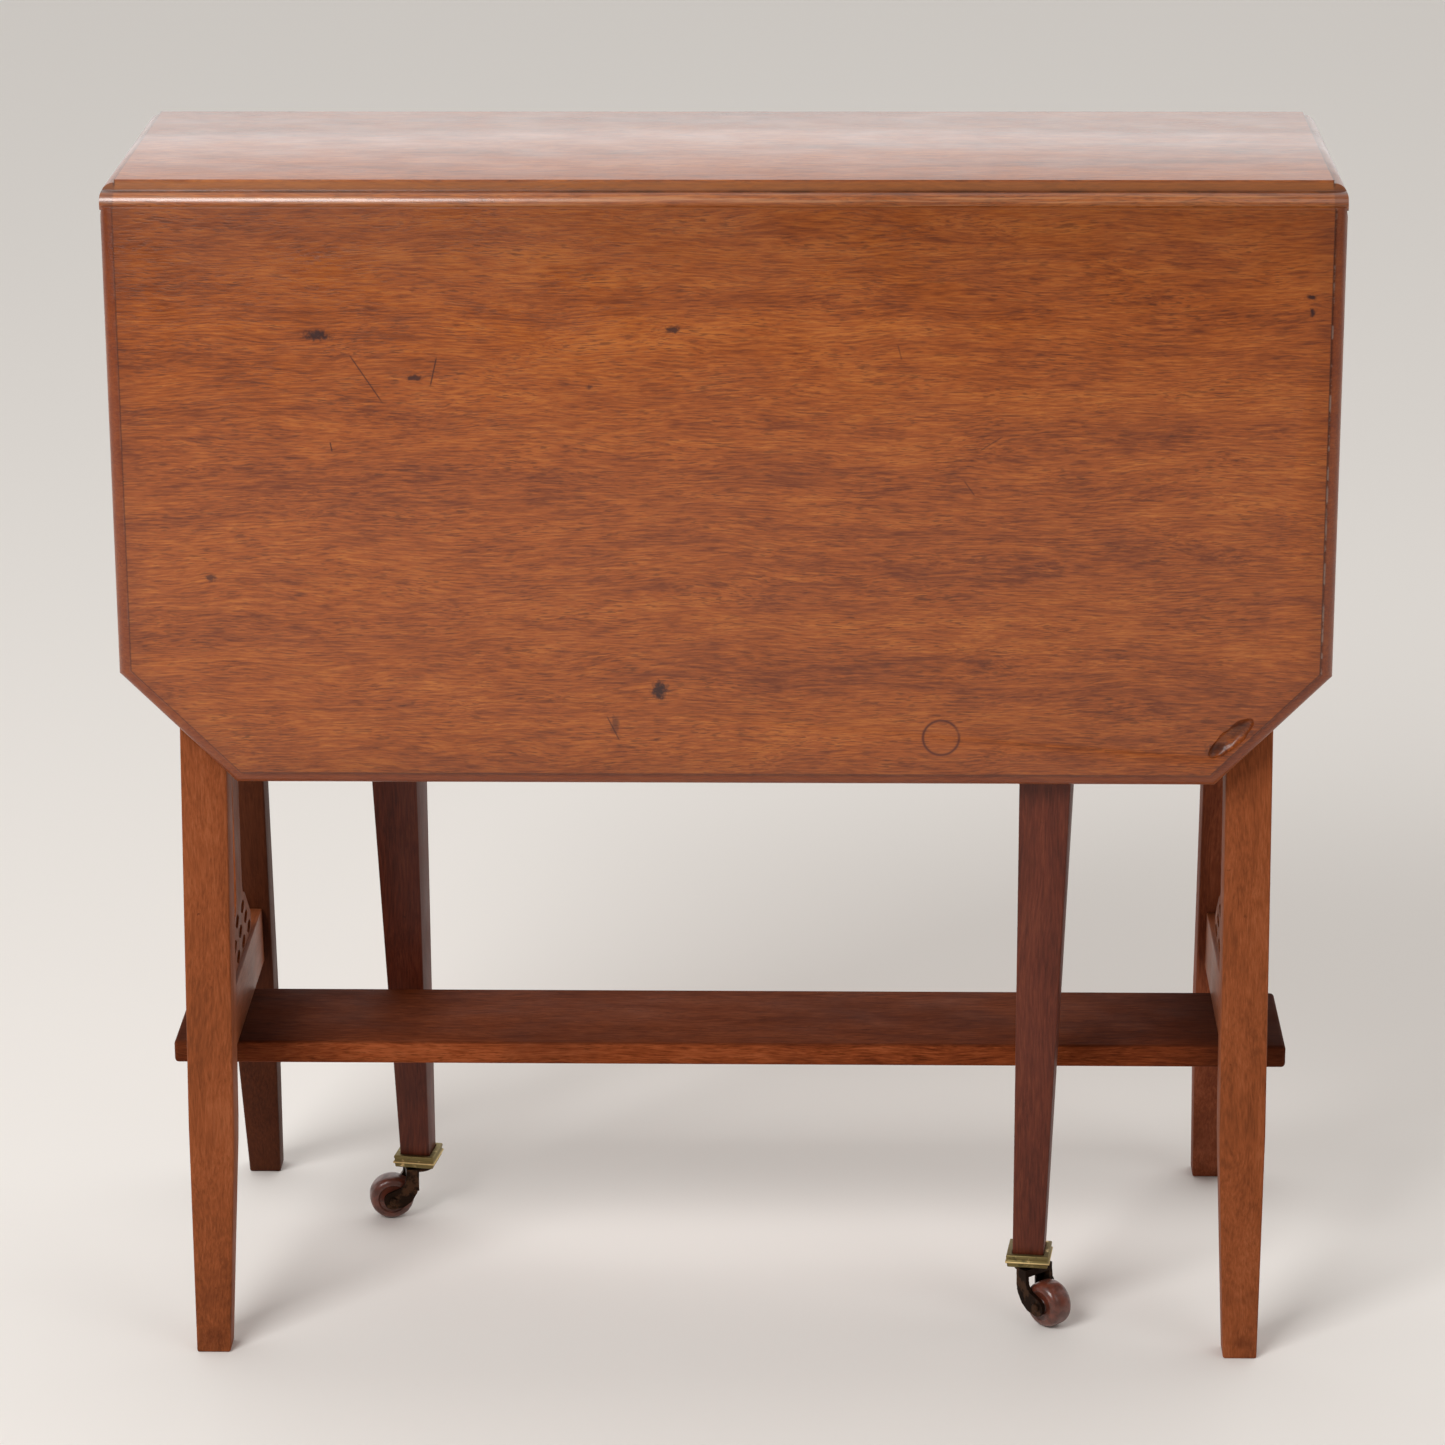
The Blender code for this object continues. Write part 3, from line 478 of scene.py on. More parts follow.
def turn_about(obj, pivot, degrees):
    """Turns a piece about an upright line and applies the turn."""
    angle = math.radians(degrees)
    obj.rotation_euler = (0, 0, angle)
    x, y = pivot[0], pivot[1]
    obj.location = (x - x * math.cos(angle) + y * math.sin(angle),
                    y - x * math.sin(angle) - y * math.cos(angle), 0)
    return place_applied(obj)


def swing_station(side, height, lift=0.0):
    sign = SIDES[side]["sign"]
    share = min(max((TAPER_TOP - height) / (TAPER_TOP - CUP_FLOOR), 0.0), 1.0)
    square = SWING_SQUARE + (SWING_FOOT - SWING_SQUARE) * share
    x = pin_place(side + "_gate_pin").x - sign * (ARM_REACH + square / 2)
    return (height + lift, x, sign * (SWING_FACE - square / 2), square, square)


swing_legs = {}
for side, data in SIDES.items():
    low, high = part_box(side + "_swing_leg")
    heights = [low.z, 200 * MM, TAPER_TOP - 6 * MM, TAPER_TOP + 6 * MM, high.z]
    leg = draw_post("swing_leg_" + side, [swing_station(side, h) for h in heights])
    soften(leg, 1.1 * MM, 3, 50)
    turn_about(leg, swing_station(side, high.z)[1:3], data["leg_turn"])
    turn_about(leg, pin_place(side + "_gate_pin"), data["ajar"])
    swing_legs[side] = smooth(leg)
    print(side, "swing leg", [round(v / MM, 1) for v in leg.dimensions],
          "CAD", [round(v / MM, 1) for v in high - low])

# %% [markdown]
# ## The castors
#
# A square brass cup is shod over the foot of each swing leg. Below it a cast
# horn swivels on a pin and carries a barrel of brown glazed ware. The cup is
# drawn up through stations as a leg is, which gives it its rims; the wheel is
# a profile spun round its axle.

# %% Castor cups
CUP_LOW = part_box("front_castor_cup")[0].z
CUP_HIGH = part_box("front_castor_cup")[1].z
CUP_HALVES = ((0.0, 11.7), (0.4, 12.1), (2.4, 12.3), (2.8, 12.8), (3.0, 13.3), (3.9, 13.3), (4.2, 12.7),
              (4.8, 12.2), (5.4, 12.4), (6.8, 12.8), (7.6, 12.7), (8.0, 12.3))


def build_cup(name, side):
    first = CUP_HALVES[0]
    cup = draw_post(name, [(CUP_LOW + up * MM, 0, 0, 2 * half * MM, 2 * half * MM)
                           for up, half in CUP_HALVES])
    edit(cup)
    pick_faces(lambda middle, normal: normal.z > 0.99)
    bpy.ops.mesh.inset(thickness=2.7 * MM)
    bpy.ops.mesh.extrude_region_move(TRANSFORM_OT_translate={"value": (0, 0, CUP_FLOOR - CUP_HIGH)})
    done()
    bore = rod("bore", 2.8 * MM, 20 * MM, (0, 0, CUP_LOW), "Z", 32)
    carve(cup, bore)
    soften(cup, 0.3 * MM, 2, 30)
    place = pin_place(side + "_swivel_pin")
    data = SIDES[side]
    cup.rotation_euler = (0, 0, math.radians(data["ajar"] + data["leg_turn"]))
    cup.location = (place.x, place.y, 0)
    return smooth(place_applied(cup), 30)


cups = {side: build_cup("castor_cup_" + side, side) for side in SIDES}

# %% Castor wheels
WHEEL_RADIUS = 14 * MM
WHEEL_HALF = 8.0 * MM
AXLE_HOLE = 2.0 * MM


def wheel_profile():
    """(radius, along the axle) from the hub round the tread to the other hub, in mm."""
    r, w, hole = WHEEL_RADIUS / MM, WHEEL_HALF / MM, AXLE_HOLE / MM
    half = [(hole, w), (4.2, w), (4.6, w - 0.3), (5.0, w - 0.9), (8.3, w - 0.9), (8.8, w - 0.6)]
    for step in range(9):
        angle = math.radians(90 * step / 8)
        half.append((r - 4.8 + 4.6 * math.sin(angle), w - 4.8 + 4.6 * math.cos(angle)))
    half.append((r, 0))
    return half + [(radius, -along) for radius, along in reversed(half[:-1])]


def build_wheel(name, side):
    """A profile in the XZ plane, spun about its axle and closed, then stood in its fork."""
    bpy.ops.object.select_all(action="DESELECT")
    bpy.ops.mesh.primitive_plane_add(size=1)
    wheel = bpy.context.object
    wheel.name = wheel.data.name = name
    edit(wheel)
    bpy.ops.mesh.delete(type="VERT")
    mesh = bmesh.from_edit_mesh(wheel.data)
    points = [mesh.verts.new((radius * MM, 0, along * MM)) for radius, along in wheel_profile()]
    for first, second in zip(points, points[1:] + points[:1]):
        mesh.edges.new((first, second))
    bmesh.update_edit_mesh(wheel.data)
    bpy.ops.mesh.select_all(action="SELECT")
    bpy.ops.mesh.spin(steps=64, angle=2 * math.pi, center=(0, 0, 0), axis=(0, 0, 1))
    bpy.ops.mesh.select_all(action="SELECT")
    bpy.ops.mesh.remove_doubles(threshold=0.01 * MM)
    bpy.ops.mesh.normals_make_consistent(inside=False)
    done()
    hub = pin_place(side + "_castor_wheel")
    heading = math.radians(SIDES[side]["heading"])
    wheel.rotation_euler = (math.pi / 2, 0, heading)
    wheel.location = hub
    return smooth(place_applied(wheel), 40)


wheels = {side: build_wheel("castor_wheel_" + side, side) for side in SIDES}
print("castor wheels", [round(v / MM, 1) for v in wheels["front"].dimensions])

# %% [markdown]
# ## Finishes
#
# Colours are written as sRGB hex values and turned to linear by one function.
# One more function adds a node of any kind with its settings and its links,
# and every material is built from those two. A kind may be followed by its
# mode, as in "Math ADD", and a node may stand for its own first output.


# %% Colour and node helpers
def paint(code):
    """A hex colour as linear RGBA."""
    values = [int(code[i:i + 2], 16) / 255 for i in (1, 3, 5)]
    return (*[v / 12.92 if v <= 0.04045 else ((v + 0.055) / 1.055) ** 2.4 for v in values], 1.0)


MODES = {"Math": "operation", "VectorMath": "operation", "MapRange": "interpolation_type",
         "Mix": "data_type"}
PLUS, MINUS, TIMES = "Math ADD", "Math SUBTRACT", "Math MULTIPLY"
STEP, MIX = "MapRange SMOOTHSTEP", "Mix RGBA"
TO_MM = 1000.0


def feed(tree, node, feeds):
    """Sets or links a node's inputs, which are named, numbered, or in the order of those in use."""
    if not isinstance(feeds, dict):
        in_use = [index for index, socket in enumerate(node.inputs) if socket.enabled]
        feeds = dict(zip(in_use, feeds))
    for key, value in feeds.items():
        if isinstance(value, bpy.types.Node):
            value = next(socket for socket in value.outputs if socket.enabled)
        if isinstance(value, bpy.types.NodeSocket):
            tree.links.new(value, node.inputs[key])
        else:
            node.inputs[key].default_value = value


def add(tree, kind, *feeds, **settings):
    """Adds a node, sets it up and feeds it: values in the order of its inputs, or one dict by name."""
    kind, _, mode = kind.partition(" ")
    node = tree.nodes.new("ShaderNode" + kind)
    if mode:
        setattr(node, MODES[kind], mode)
    for key, value in settings.items():
        setattr(node, key, value)
    feed(tree, node, feeds[0] if feeds and isinstance(feeds[0], dict) else feeds)
    return node


def new_material(name):
    material = bpy.data.materials.new(name)
    material.use_nodes = True
    tree = material.node_tree
    tree.nodes.clear()
    shader = add(tree, "BsdfPrincipled")
    add(tree, "OutputMaterial", {"Surface": shader})
    return material, tree, shader


print("one hex colour in linear light:", [round(v, 3) for v in paint("#9c5227")])

# %% [markdown]
# ### Mahogany under French polish
#
# Mahogany is a warm red brown with soft lengthwise bands. Its pores are long
# enough to see: dark dashes five to fifteen millimetres long and less than
# one wide. Shellac, rubbed on in many thin coats, lies over it as a clear
# gloss that has gone a little uneven. Each pattern is a noise stretched along
# the grain, in millimetres, and the polish is the shader's coat.

# %% The wood
GRAIN_TURNS = {"X": (0, 0, 0), "Y": (0, 0, math.pi / 2), "Z": (0, math.pi / 2, 0)}


def grain(tree, wood, length, width, detail=2.0, rough=0.5):
    """A noise whose features are length mm along the grain and width mm across it."""
    stretched = add(tree, "Mapping", {"Vector": wood, "Scale": (1 / length, 1 / width, 1 / width)})
    noise = add(tree, "TexNoise", {"Vector": stretched, "Scale": 1.0, "Detail": detail,
                                   "Roughness": rough})
    return noise


def wood_space(tree, along, shift):
    """Object coordinates in mm, the grain along X, gently waved as real grain is."""
    place = add(tree, "TexCoord").outputs["Object"]
    board = add(tree, "Mapping", {"Vector": place, "Location": shift, "Rotation": GRAIN_TURNS[along],
                                  "Scale": (TO_MM, TO_MM, TO_MM)})
    calm = add(tree, "Mapping", {"Vector": board, "Scale": (1 / 130, 1 / 34, 1 / 34)})
    wave = add(tree, "TexNoise", {"Vector": calm, "Scale": 1.0, "Detail": 2.0})
    centred = add(tree, "VectorMath", {0: wave.outputs["Color"], 1: (0.5, 0.5, 0.5)}, operation="SUBTRACT")
    pushed = add(tree, "VectorMath", {0: centred, 1: (0, 16, 16)}, operation="MULTIPLY")
    return place, add(tree, "VectorMath", {0: board, 1: pushed}, operation="ADD")


def mahogany(name, along="X", shift=(0, 0, 0), dark="#70310a", middle="#9b4d16", light="#b36425",
             pore="#4a2207", pore_share=0.6, gloss=0.3, coat_rough=0.22, shine=0.35, rough=(0.34, 0.52),
             ripple=0.12, extra=None):
    """One board's material; extra(tree, place, colour) may add that board's own marks."""
    material, tree, shader = new_material(name)
    place, wood = wood_space(tree, along, shift)

    bands = grain(tree, wood, 260, 26, 3, 0.55)
    mottle = grain(tree, wood, 40, 9, 3)
    fibre = grain(tree, wood, 16, 1.1, 3, 0.65)
    tone = add(tree, PLUS, add(tree, TIMES, bands, 0.3), add(tree, TIMES, mottle, 0.2))
    tone = add(tree, PLUS, tone, add(tree, TIMES, fibre, 0.5))
    colours = add(tree, "ValToRGB", {0: tone})
    for spot, at, code in zip((0, 1), (0.38, 0.62), (dark, light)):
        colours.color_ramp.elements[spot].position = at
        colours.color_ramp.elements[spot].color = paint(code)
    colours.color_ramp.elements.new(0.5).color = paint(middle)

    dashes = add(tree, STEP, grain(tree, wood, 7, 0.6, 1.0), 0.52, 0.66)
    crowd = add(tree, STEP, grain(tree, wood, 50, 9, 2), 0.3, 0.7)
    crowd = add(tree, PLUS, 0.4, add(tree, TIMES, crowd, 0.6))
    pores = add(tree, TIMES, dashes, crowd, use_clamp=True)
    streaks = add(tree, TIMES, add(tree, STEP, grain(tree, wood, 70, 2.4, 3), 0.54, 0.74), 0.4)
    colour = add(tree, MIX, streaks, colours, paint(dark))
    colour = add(tree, MIX, add(tree, TIMES, pores, pore_share), colour, paint(pore))
    if extra:
        colour = extra(tree, place, colour)

    uneven = grain(tree, wood, 40, 25, 3)
    roughness = add(tree, "MapRange", {0: uneven, 1: 0.3, 2: 0.7, 3: rough[0], 4: rough[1]})
    height = add(tree, MINUS, add(tree, TIMES, fibre, 0.35), pores)
    bump = add(tree, "Bump", {"Strength": 0.35, "Distance": 0.15 * MM, "Height": height})
    film = add(tree, "Bump", {"Strength": ripple, "Distance": 0.2 * MM, "Height": uneven})
    feed(tree, shader, {"Base Color": colour, "Roughness": roughness, "Normal": bump, "Coat Normal": film,
                        "IOR": 1.5, "Coat Weight": gloss, "Coat Roughness": coat_rough, "Coat IOR": 1.52,
                        "Specular IOR Level": shine})
    return material


def dress(obj, material):
    obj.data.materials.clear()
    obj.data.materials.append(material)


# %% [markdown]
# ### What age has done to a leaf
#
# A hanging leaf is knocked at its edges and cleaned on its face. Dirt and old
# wax lie in the quirk, where they show as a dark line with pale flecks, the
# moulding has gone redder, and its outer arris is rubbed pale. All of this is
# a matter of distance from the edge, which can be worked out from the Object
# coordinates because every piece sits at the origin.


# %% Ageing at the edges
def edge_distance(tree, place):
    """How far in from a leaf's free edges a point is, in mm."""
    parts = add(tree, "SeparateXYZ", {0: place}).outputs
    across = add(tree, "Math ABSOLUTE", parts["X"])
    side = add(tree, TIMES, add(tree, MINUS, HALF_LENGTH, across), TO_MM)
    low = add(tree, TIMES, add(tree, MINUS, parts["Z"], LEAF_BOTTOM), TO_MM)
    corner = add(tree, MINUS, add(tree, PLUS, side, low), CANT / MM)
    corner = add(tree, TIMES, corner, math.sqrt(0.5))
    return add(tree, "Math MINIMUM", add(tree, "Math MINIMUM", side, low), corner), parts


def patchy(tree, place, size, low, high):
    """A blotchy 0 to 1, its blotches size mm across."""
    noise = add(tree, "TexNoise", {"Vector": place, "Scale": TO_MM / size, "Detail": 4.0, "Roughness": 0.6})
    return add(tree, STEP, noise, low, high)


def near(tree, value, middle, reach):
    """1 at middle, falling to 0 at reach on either side."""
    away = add(tree, "Math ABSOLUTE", add(tree, MINUS, value, middle))
    return add(tree, STEP, away, reach, 0.0)


def leaf_ageing(tree, place, colour):
    inward, parts = edge_distance(tree, place)
    rim = add(tree, MINUS, 1.0, add(tree, STEP, inward, 7.2, 8.6))
    colour = add(tree, MIX, add(tree, TIMES, rim, 0.55), colour, paint("#7a320e"))
    border = add(tree, MINUS, 1.0, add(tree, STEP, inward, 8, 24))
    border = add(tree, TIMES, border, 0.22)
    colour = add(tree, MIX, border, colour, paint("#5c2412"))
    quirk = add(tree, TIMES, near(tree, inward, 7.8, 0.9), 0.6)
    colour = add(tree, MIX, quirk, colour, paint("#2b120b"))
    wax = add(tree, TIMES, near(tree, inward, 7.1, 0.9), patchy(tree, place, 9, 0.47, 0.60))
    right = add(tree, PLUS, 0.06, add(tree, TIMES, add(tree, STEP, parts["X"], 0.325, 0.338), 0.6))
    colour = add(tree, MIX, add(tree, TIMES, wax, right), colour, paint("#b9a091"))
    arris = add(tree, MINUS, 1.0, add(tree, STEP, inward, 0.4, 2.0))
    rubbed = add(tree, TIMES, arris, patchy(tree, place, 20, 0.35, 0.65))
    colour = add(tree, MIX, add(tree, TIMES, rubbed, 0.45), colour, paint("#a8683f"))
    shade = add(tree, STEP, add(tree, TIMES, parts["Z"], TO_MM), 610, 690)
    return add(tree, MIX, add(tree, TIMES, shade, 0.34), colour, paint("#4e2109"))


# %% [markdown]
# The front leaf has its own history as well: a few small knots, scratches,
# bruises, and the ring a wet glass left. Each knot is a soft dark ellipse
# whose rim is broken up by a noise; each scratch is a thin slanted line.

# %% Marks on the front leaf
KNOTS = ((-229, 613.5, 8, 3.4, 1.0), (-28, 617, 5, 2.4, 0.9), (-174, 589, 5.5, 1.8, 0.9),
         (-37, 404, 5, 6.0, 1.0), (-294, 471, 4, 2.6, 0.8), (330, 636, 3.2, 1.6, 1.0),
         (331, 627.5, 1.6, 3.0, 1.0), (-75.5, 584, 2.4, 1.6, 0.7), (-63, 384, 2.4, 6.0, 0.6),
         (284, 369, 7, 4, 0.6), (297, 381, 7, 6, 0.5))
SCRATCHES = ((-202, 588.5, 18.5, 57, 0.85), (-163.5, 592.5, 9.5, -77, 0.9), (-222.7, 548.5, 3.2, 80, 0.9),
             (152, 551, 8.5, -33, 0.6), (140, 525, 6.0, 55, 0.6), (-64, 381, 9, 64, 0.7),
             (100, 604, 5, 75, 0.5))
RING = (125.2, 376, 10.4, 0.95)


def around(tree, parts, x, z, turn=0.0):
    """Object X and Z in mm measured from a mark and turned with it."""
    flat = add(tree, "CombineXYZ", {0: parts["X"], 1: parts["Z"]})
    moved = add(tree, "Mapping", {"Vector": flat, "Location": (x * MM, z * MM, 0),
                                  "Rotation": (0, 0, math.radians(turn))}, vector_type="TEXTURE")
    return add(tree, "VectorMath", {0: moved, "Scale": TO_MM}, operation="SCALE")


def front_leaf_history(tree, place, colour):
    colour = leaf_ageing(tree, place, colour)
    parts = add(tree, "SeparateXYZ", {0: place}).outputs
    ragged = add(tree, "TexNoise", {"Vector": place, "Scale": 420.0, "Detail": 3.0})
    for x, z, half_wide, half_high, strength in KNOTS:
        spot = add(tree, "VectorMath", {0: around(tree, parts, x, z), 1: (1 / half_wide, 1 / half_high, 0)},
                   operation="MULTIPLY")
        away = add(tree, "VectorMath", {0: spot}, operation="LENGTH")
        away = add(tree, PLUS, away, add(tree, TIMES, add(tree, MINUS, ragged, 0.5), 1.6))
        dark = add(tree, STEP, away, 1.25, 0.4, 0.0, strength)
        colour = add(tree, MIX, dark, colour, paint("#35130c"))
    for x, z, half, turn, strength in SCRATCHES:
        line = add(tree, "SeparateXYZ", {0: around(tree, parts, x, z, -turn)}).outputs
        thin = near(tree, line["Y"], 0.0, 0.75)
        past_end = add(tree, STEP, add(tree, "Math ABSOLUTE", line["X"]), half * 0.7, half)
        stroke = add(tree, TIMES, thin, add(tree, MINUS, 1.0, past_end))
        colour = add(tree, MIX, add(tree, TIMES, stroke, strength), colour, paint("#3c170c"))
    x, z, radius, strength = RING
    away = add(tree, "VectorMath", {0: around(tree, parts, x, z)}, operation="LENGTH")
    ring = add(tree, TIMES, near(tree, away, radius, 1.4), patchy(tree, place, 14, 0.2, 0.5))
    return add(tree, MIX, add(tree, TIMES, ring, strength), colour, paint("#54210f"))


# %% [markdown]
# ### The top's own wear, with painted shade and a painted highlight
#
# Along the top's front and back the fillet holds a dark line of grime, deepened
# with painted shade, where the quarter round starts. The round itself carries
# pale streaks, partly rubbed to bare golden wood by the leaf and partly a
# painted highlight. The ends are darker, like the leaf's mouldings.


# %% Ageing of the top
def top_wear_and_painted_light(tree, place, colour):
    parts = add(tree, "SeparateXYZ", {0: place}).outputs
    out = add(tree, TIMES, add(tree, MINUS, add(tree, "Math ABSOLUTE", parts["Y"]), HINGE_LINE), TO_MM)
    up = add(tree, TIMES, add(tree, MINUS, parts["Z"], HINGE_HEIGHT), TO_MM)
    inward = add(tree, TIMES, add(tree, MINUS, HALF_LENGTH, add(tree, "Math ABSOLUTE", parts["X"])), TO_MM)
    lines = add(tree, "Mapping", {"Vector": place, "Scale": (12, 700, 700)})
    wear_and_highlight_streaks = add(tree, "TexNoise", {"Vector": lines, "Scale": 1.0, "Detail": 4.0})
    wear_and_highlight_streaks = add(tree, STEP, wear_and_highlight_streaks, 0.48, 0.66)
    # Pale streaks on the lower quarter round: partly rubbed wear, partly a painted highlight.
    nosing = add(tree, TIMES, add(tree, STEP, out, 3.0, 5.2), add(tree, STEP, up, -1.5, 0.5))
    rubbed = add(tree, TIMES, nosing, add(tree, PLUS, add(tree, TIMES, wear_and_highlight_streaks, 0.5), 0.08))
    colour = add(tree, MIX, rubbed, colour, paint("#c58a5c"))
    below = add(tree, MINUS, 1.0, add(tree, STEP, up, 11.6, 13.2))
    fillet = add(tree, TIMES, near(tree, out, 0.0, 0.9), below)
    colour = add(tree, MIX, add(tree, TIMES, fillet, 0.6), colour, paint("#9c5f2e"))
    # Painted shade with grime: a dark line where the quarter round starts below the fillet.
    corner = add(tree, TIMES, near(tree, out, 1.8, 3.2), near(tree, up, 6.9, 2.6))
    grime_and_painted_shade = add(tree, PLUS, 0.5, add(tree, TIMES, patchy(tree, place, 30, 0.4, 0.62), 0.45))
    colour = add(tree, MIX, add(tree, TIMES, corner, grime_and_painted_shade), colour, paint("#23120a"))
    rim = add(tree, MINUS, 1.0, add(tree, STEP, inward, 7.2, 8.4))
    colour = add(tree, MIX, add(tree, TIMES, rim, 0.45), colour, paint("#5e2a16"))
    quirk = add(tree, TIMES, near(tree, inward, 7.7, 1.2), add(tree, STEP, up, 8, 11))
    quirk = add(tree, TIMES, quirk, 0.7)
    return add(tree, MIX, quirk, colour, paint("#2b150c"))


# %% [markdown]
# ### Legs, rails and shelf
#
# A leg is kicked and bruised near the floor, and its wax has gone nearly
# matt. The shelf and the hidden rails were oiled, not polished, so they are
# dull, and the shelf is darkened with painted shade on its face and towards
# its ends, most at its right end.


# %% Ageing of a leg
def leg_ageing(tree, place, colour):
    parts = add(tree, "SeparateXYZ", {0: place}).outputs
    height = add(tree, TIMES, parts["Z"], TO_MM)
    low_down = add(tree, MINUS, 1.0, add(tree, STEP, height, 5, 70))
    scuffed = add(tree, TIMES, low_down, patchy(tree, place, 16, 0.42, 0.66))
    colour = add(tree, MIX, add(tree, TIMES, scuffed, 0.4), colour, paint("#4a2212"))
    bruises = add(tree, TIMES, patchy(tree, place, 7, 0.69, 0.76), 0.6)
    return add(tree, MIX, bruises, colour, paint("#3a1a0e"))


SHELF_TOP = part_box("shelf")[1].z / MM


def shelf_stains_and_painted_shade(tree, place, colour):
    parts = add(tree, "SeparateXYZ", {0: place}).outputs
    across = add(tree, TIMES, add(tree, "Math ABSOLUTE", parts["X"]), TO_MM)
    # Painted shade: the shelf's top face is darkened, and so are its ends, the right end most.
    painted_shade_on_face = add(tree, STEP, add(tree, TIMES, parts["Z"], TO_MM), SHELF_TOP - 1.6, SHELF_TOP - 0.2)
    colour = add(tree, MIX, add(tree, TIMES, painted_shade_on_face, 0.5), colour, paint("#3a1b11"))
    ends = add(tree, TIMES, add(tree, STEP, across, 235, 325), 0.55)
    right_end = add(tree, TIMES, add(tree, STEP, parts["X"], 0.24, 0.31), 0.4)
    colour = add(tree, MIX, right_end, colour, paint("#2c140d"))
    colour = add(tree, MIX, ends, colour, paint("#2c140d"))
    stain = add(tree, TIMES, patchy(tree, place, 60, 0.45, 0.7), 0.35)
    return add(tree, MIX, stain, colour, paint("#3d1a10"))


print("wood recipes ready")

# %% Dress the wooden pieces
WAXED = {"gloss": 0.0, "shine": 0.08, "rough": (0.46, 0.64)}
SHEEN = {"gloss": 0.06, "coat_rough": 0.3, "shine": 0.25, "rough": (0.4, 0.56)}
DRY = {"gloss": 0.0, "shine": 0.03, "rough": (0.62, 0.8), "ripple": 0.05}
LEG = {"dark": "#723c20", "middle": "#8c4a28", "light": "#9b5734", "pore_share": 0.18, **WAXED}
# The back legs get shaded and lit copies of the leg's mahogany: painted shade darkens the left one, painted
# light brightens the right one.
LEFT_BACK_LEG_IN_PAINTED_SHADE = {"dark": "#3c1c0e", "middle": "#4b2413", "light": "#582d19", "pore_share": 0.2, **WAXED}
RIGHT_BACK_LEG_PAINTED_LIGHTER = {"dark": "#683320", "middle": "#824329", "light": "#945237", "pore_share": 0.2, **WAXED}
SHELF = {"dark": "#5f2a14", "middle": "#884221", "light": "#9e5430", **DRY}
SWING = {"dark": "#461b0f", "middle": "#5d2717", "light": "#6d331f", "pore_share": 0.25, **SHEEN}
DULL = {"dark": "#42200f", "middle": "#6b3a1c", "light": "#84502b", **DRY}
LEG_WOODS = {("front", "left"): LEG, ("front", "right"): LEG, ("back", "left"): LEFT_BACK_LEG_IN_PAINTED_SHADE,
             ("back", "right"): RIGHT_BACK_LEG_PAINTED_LIGHTER}

dress(top, mahogany("french_polished_mahogany_top", "X", (900, 40, 0), extra=top_wear_and_painted_light, gloss=1.0,
                    shine=0.5, ripple=0.0))
dress(front_leaf, mahogany("french_polished_mahogany_front_leaf", "X", (0, 0, 0), extra=front_leaf_history))
dress(back_leaf, mahogany("french_polished_mahogany_back_leaf", "X", (1700, 300, 90), extra=leaf_ageing))
dress(shelf, mahogany("french_polished_mahogany_shelf", "X", (-800, 90, 400), extra=shelf_stains_and_painted_shade, **SHELF))
for number, ((side, where), leg) in enumerate(legs.items()):
    dress(leg, mahogany(f"polished_mahogany_leg_{side}_{where}", "Z", (370 * number, 55 * number, 0),
                        extra=leg_ageing, **LEG_WOODS[side, where]))
for number, (where, rail) in enumerate(low_rails.items()):
    dress(rail, mahogany("polished_mahogany_low_rail_" + where, "Y", (210 * number, 700, 30),
                         **{**LEG, **SHEEN}))
for number, (side, leg) in enumerate(swing_legs.items()):
    dress(leg, mahogany("polished_mahogany_swing_leg_" + side, "Z", (500 * number, 800, 60),
                        extra=leg_ageing, **SWING))
    dress(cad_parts[side + "_gate_arm"],
          mahogany("polished_mahogany_gate_arm_" + side, "X", (90 * number, 130, 500), **SWING))
    dress(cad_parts[side + "_gate_block"],
          mahogany("oiled_mahogany_gate_block_" + side, "X", (130 * number, 20, 560), **DULL))
    dress(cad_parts[side + "_long_rail"],
          mahogany("oiled_mahogany_long_rail_" + side, "X", (330 * number, 620, 60), **DULL))
for number, where in enumerate(("left", "right")):
    dress(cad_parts[where + "_splat"],
          mahogany("polished_mahogany_splat_" + where, "Z", (640 * number, 240, 0), **LEG))
    dress(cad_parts[where + "_bearer"],
          mahogany("oiled_mahogany_bearer_" + where, "Y", (160 * number, 420, 80), **DULL))

# %% [markdown]
# ### Brass, iron and glazed ware
#
# Cast brass goes brown where nothing rubs it and green where wax has stood in
# its grooves, and stays yellow on its edges. The horns are cast and nearly
# black with old oil. The wheels are brown glazed pottery, scuffed dull on
# the tread. Brass and iron are metals with their own colour; the ware is not,
# and has a clear glaze over it.


# %% Metal and ceramic
def aged_metal(name, bright, dull, grime, rubbed=(0.50, 0.62), rough=(0.30, 0.55), painted_highlight_height=None):
    """Dull metal rubbed bright in patches, with a painted highlight along a raised line when its height in
    mm is given.
    """
    material, tree, shader = new_material(name)
    place = add(tree, "TexCoord").outputs["Object"]
    wear = patchy(tree, place, 7, *rubbed)
    colour = add(tree, MIX, wear, paint(dull), paint(bright))
    crust = patchy(tree, place, 4, 0.56, 0.70)
    colour = add(tree, MIX, add(tree, TIMES, crust, 0.7), colour, paint(grime))
    # Painted highlight: bright colour along the raised line at the given height.
    if painted_highlight_height:
        height = add(tree, TIMES, add(tree, "SeparateXYZ", {0: place}).outputs["Z"], TO_MM)
        colour = add(tree, MIX, near(tree, height, painted_highlight_height, 0.9), colour, paint(bright))
    grit = add(tree, "TexNoise", {"Vector": place, "Scale": 1400.0, "Detail": 3.0})
    roughness = add(tree, "MapRange", {0: wear, 3: rough[1], 4: rough[0]})
    bump = add(tree, "Bump", {"Strength": 0.3, "Distance": 0.12 * MM, "Height": grit})
    feed(tree, shader, {"Base Color": colour, "Roughness": roughness, "Normal": bump, "Metallic": 1.0})
    return material


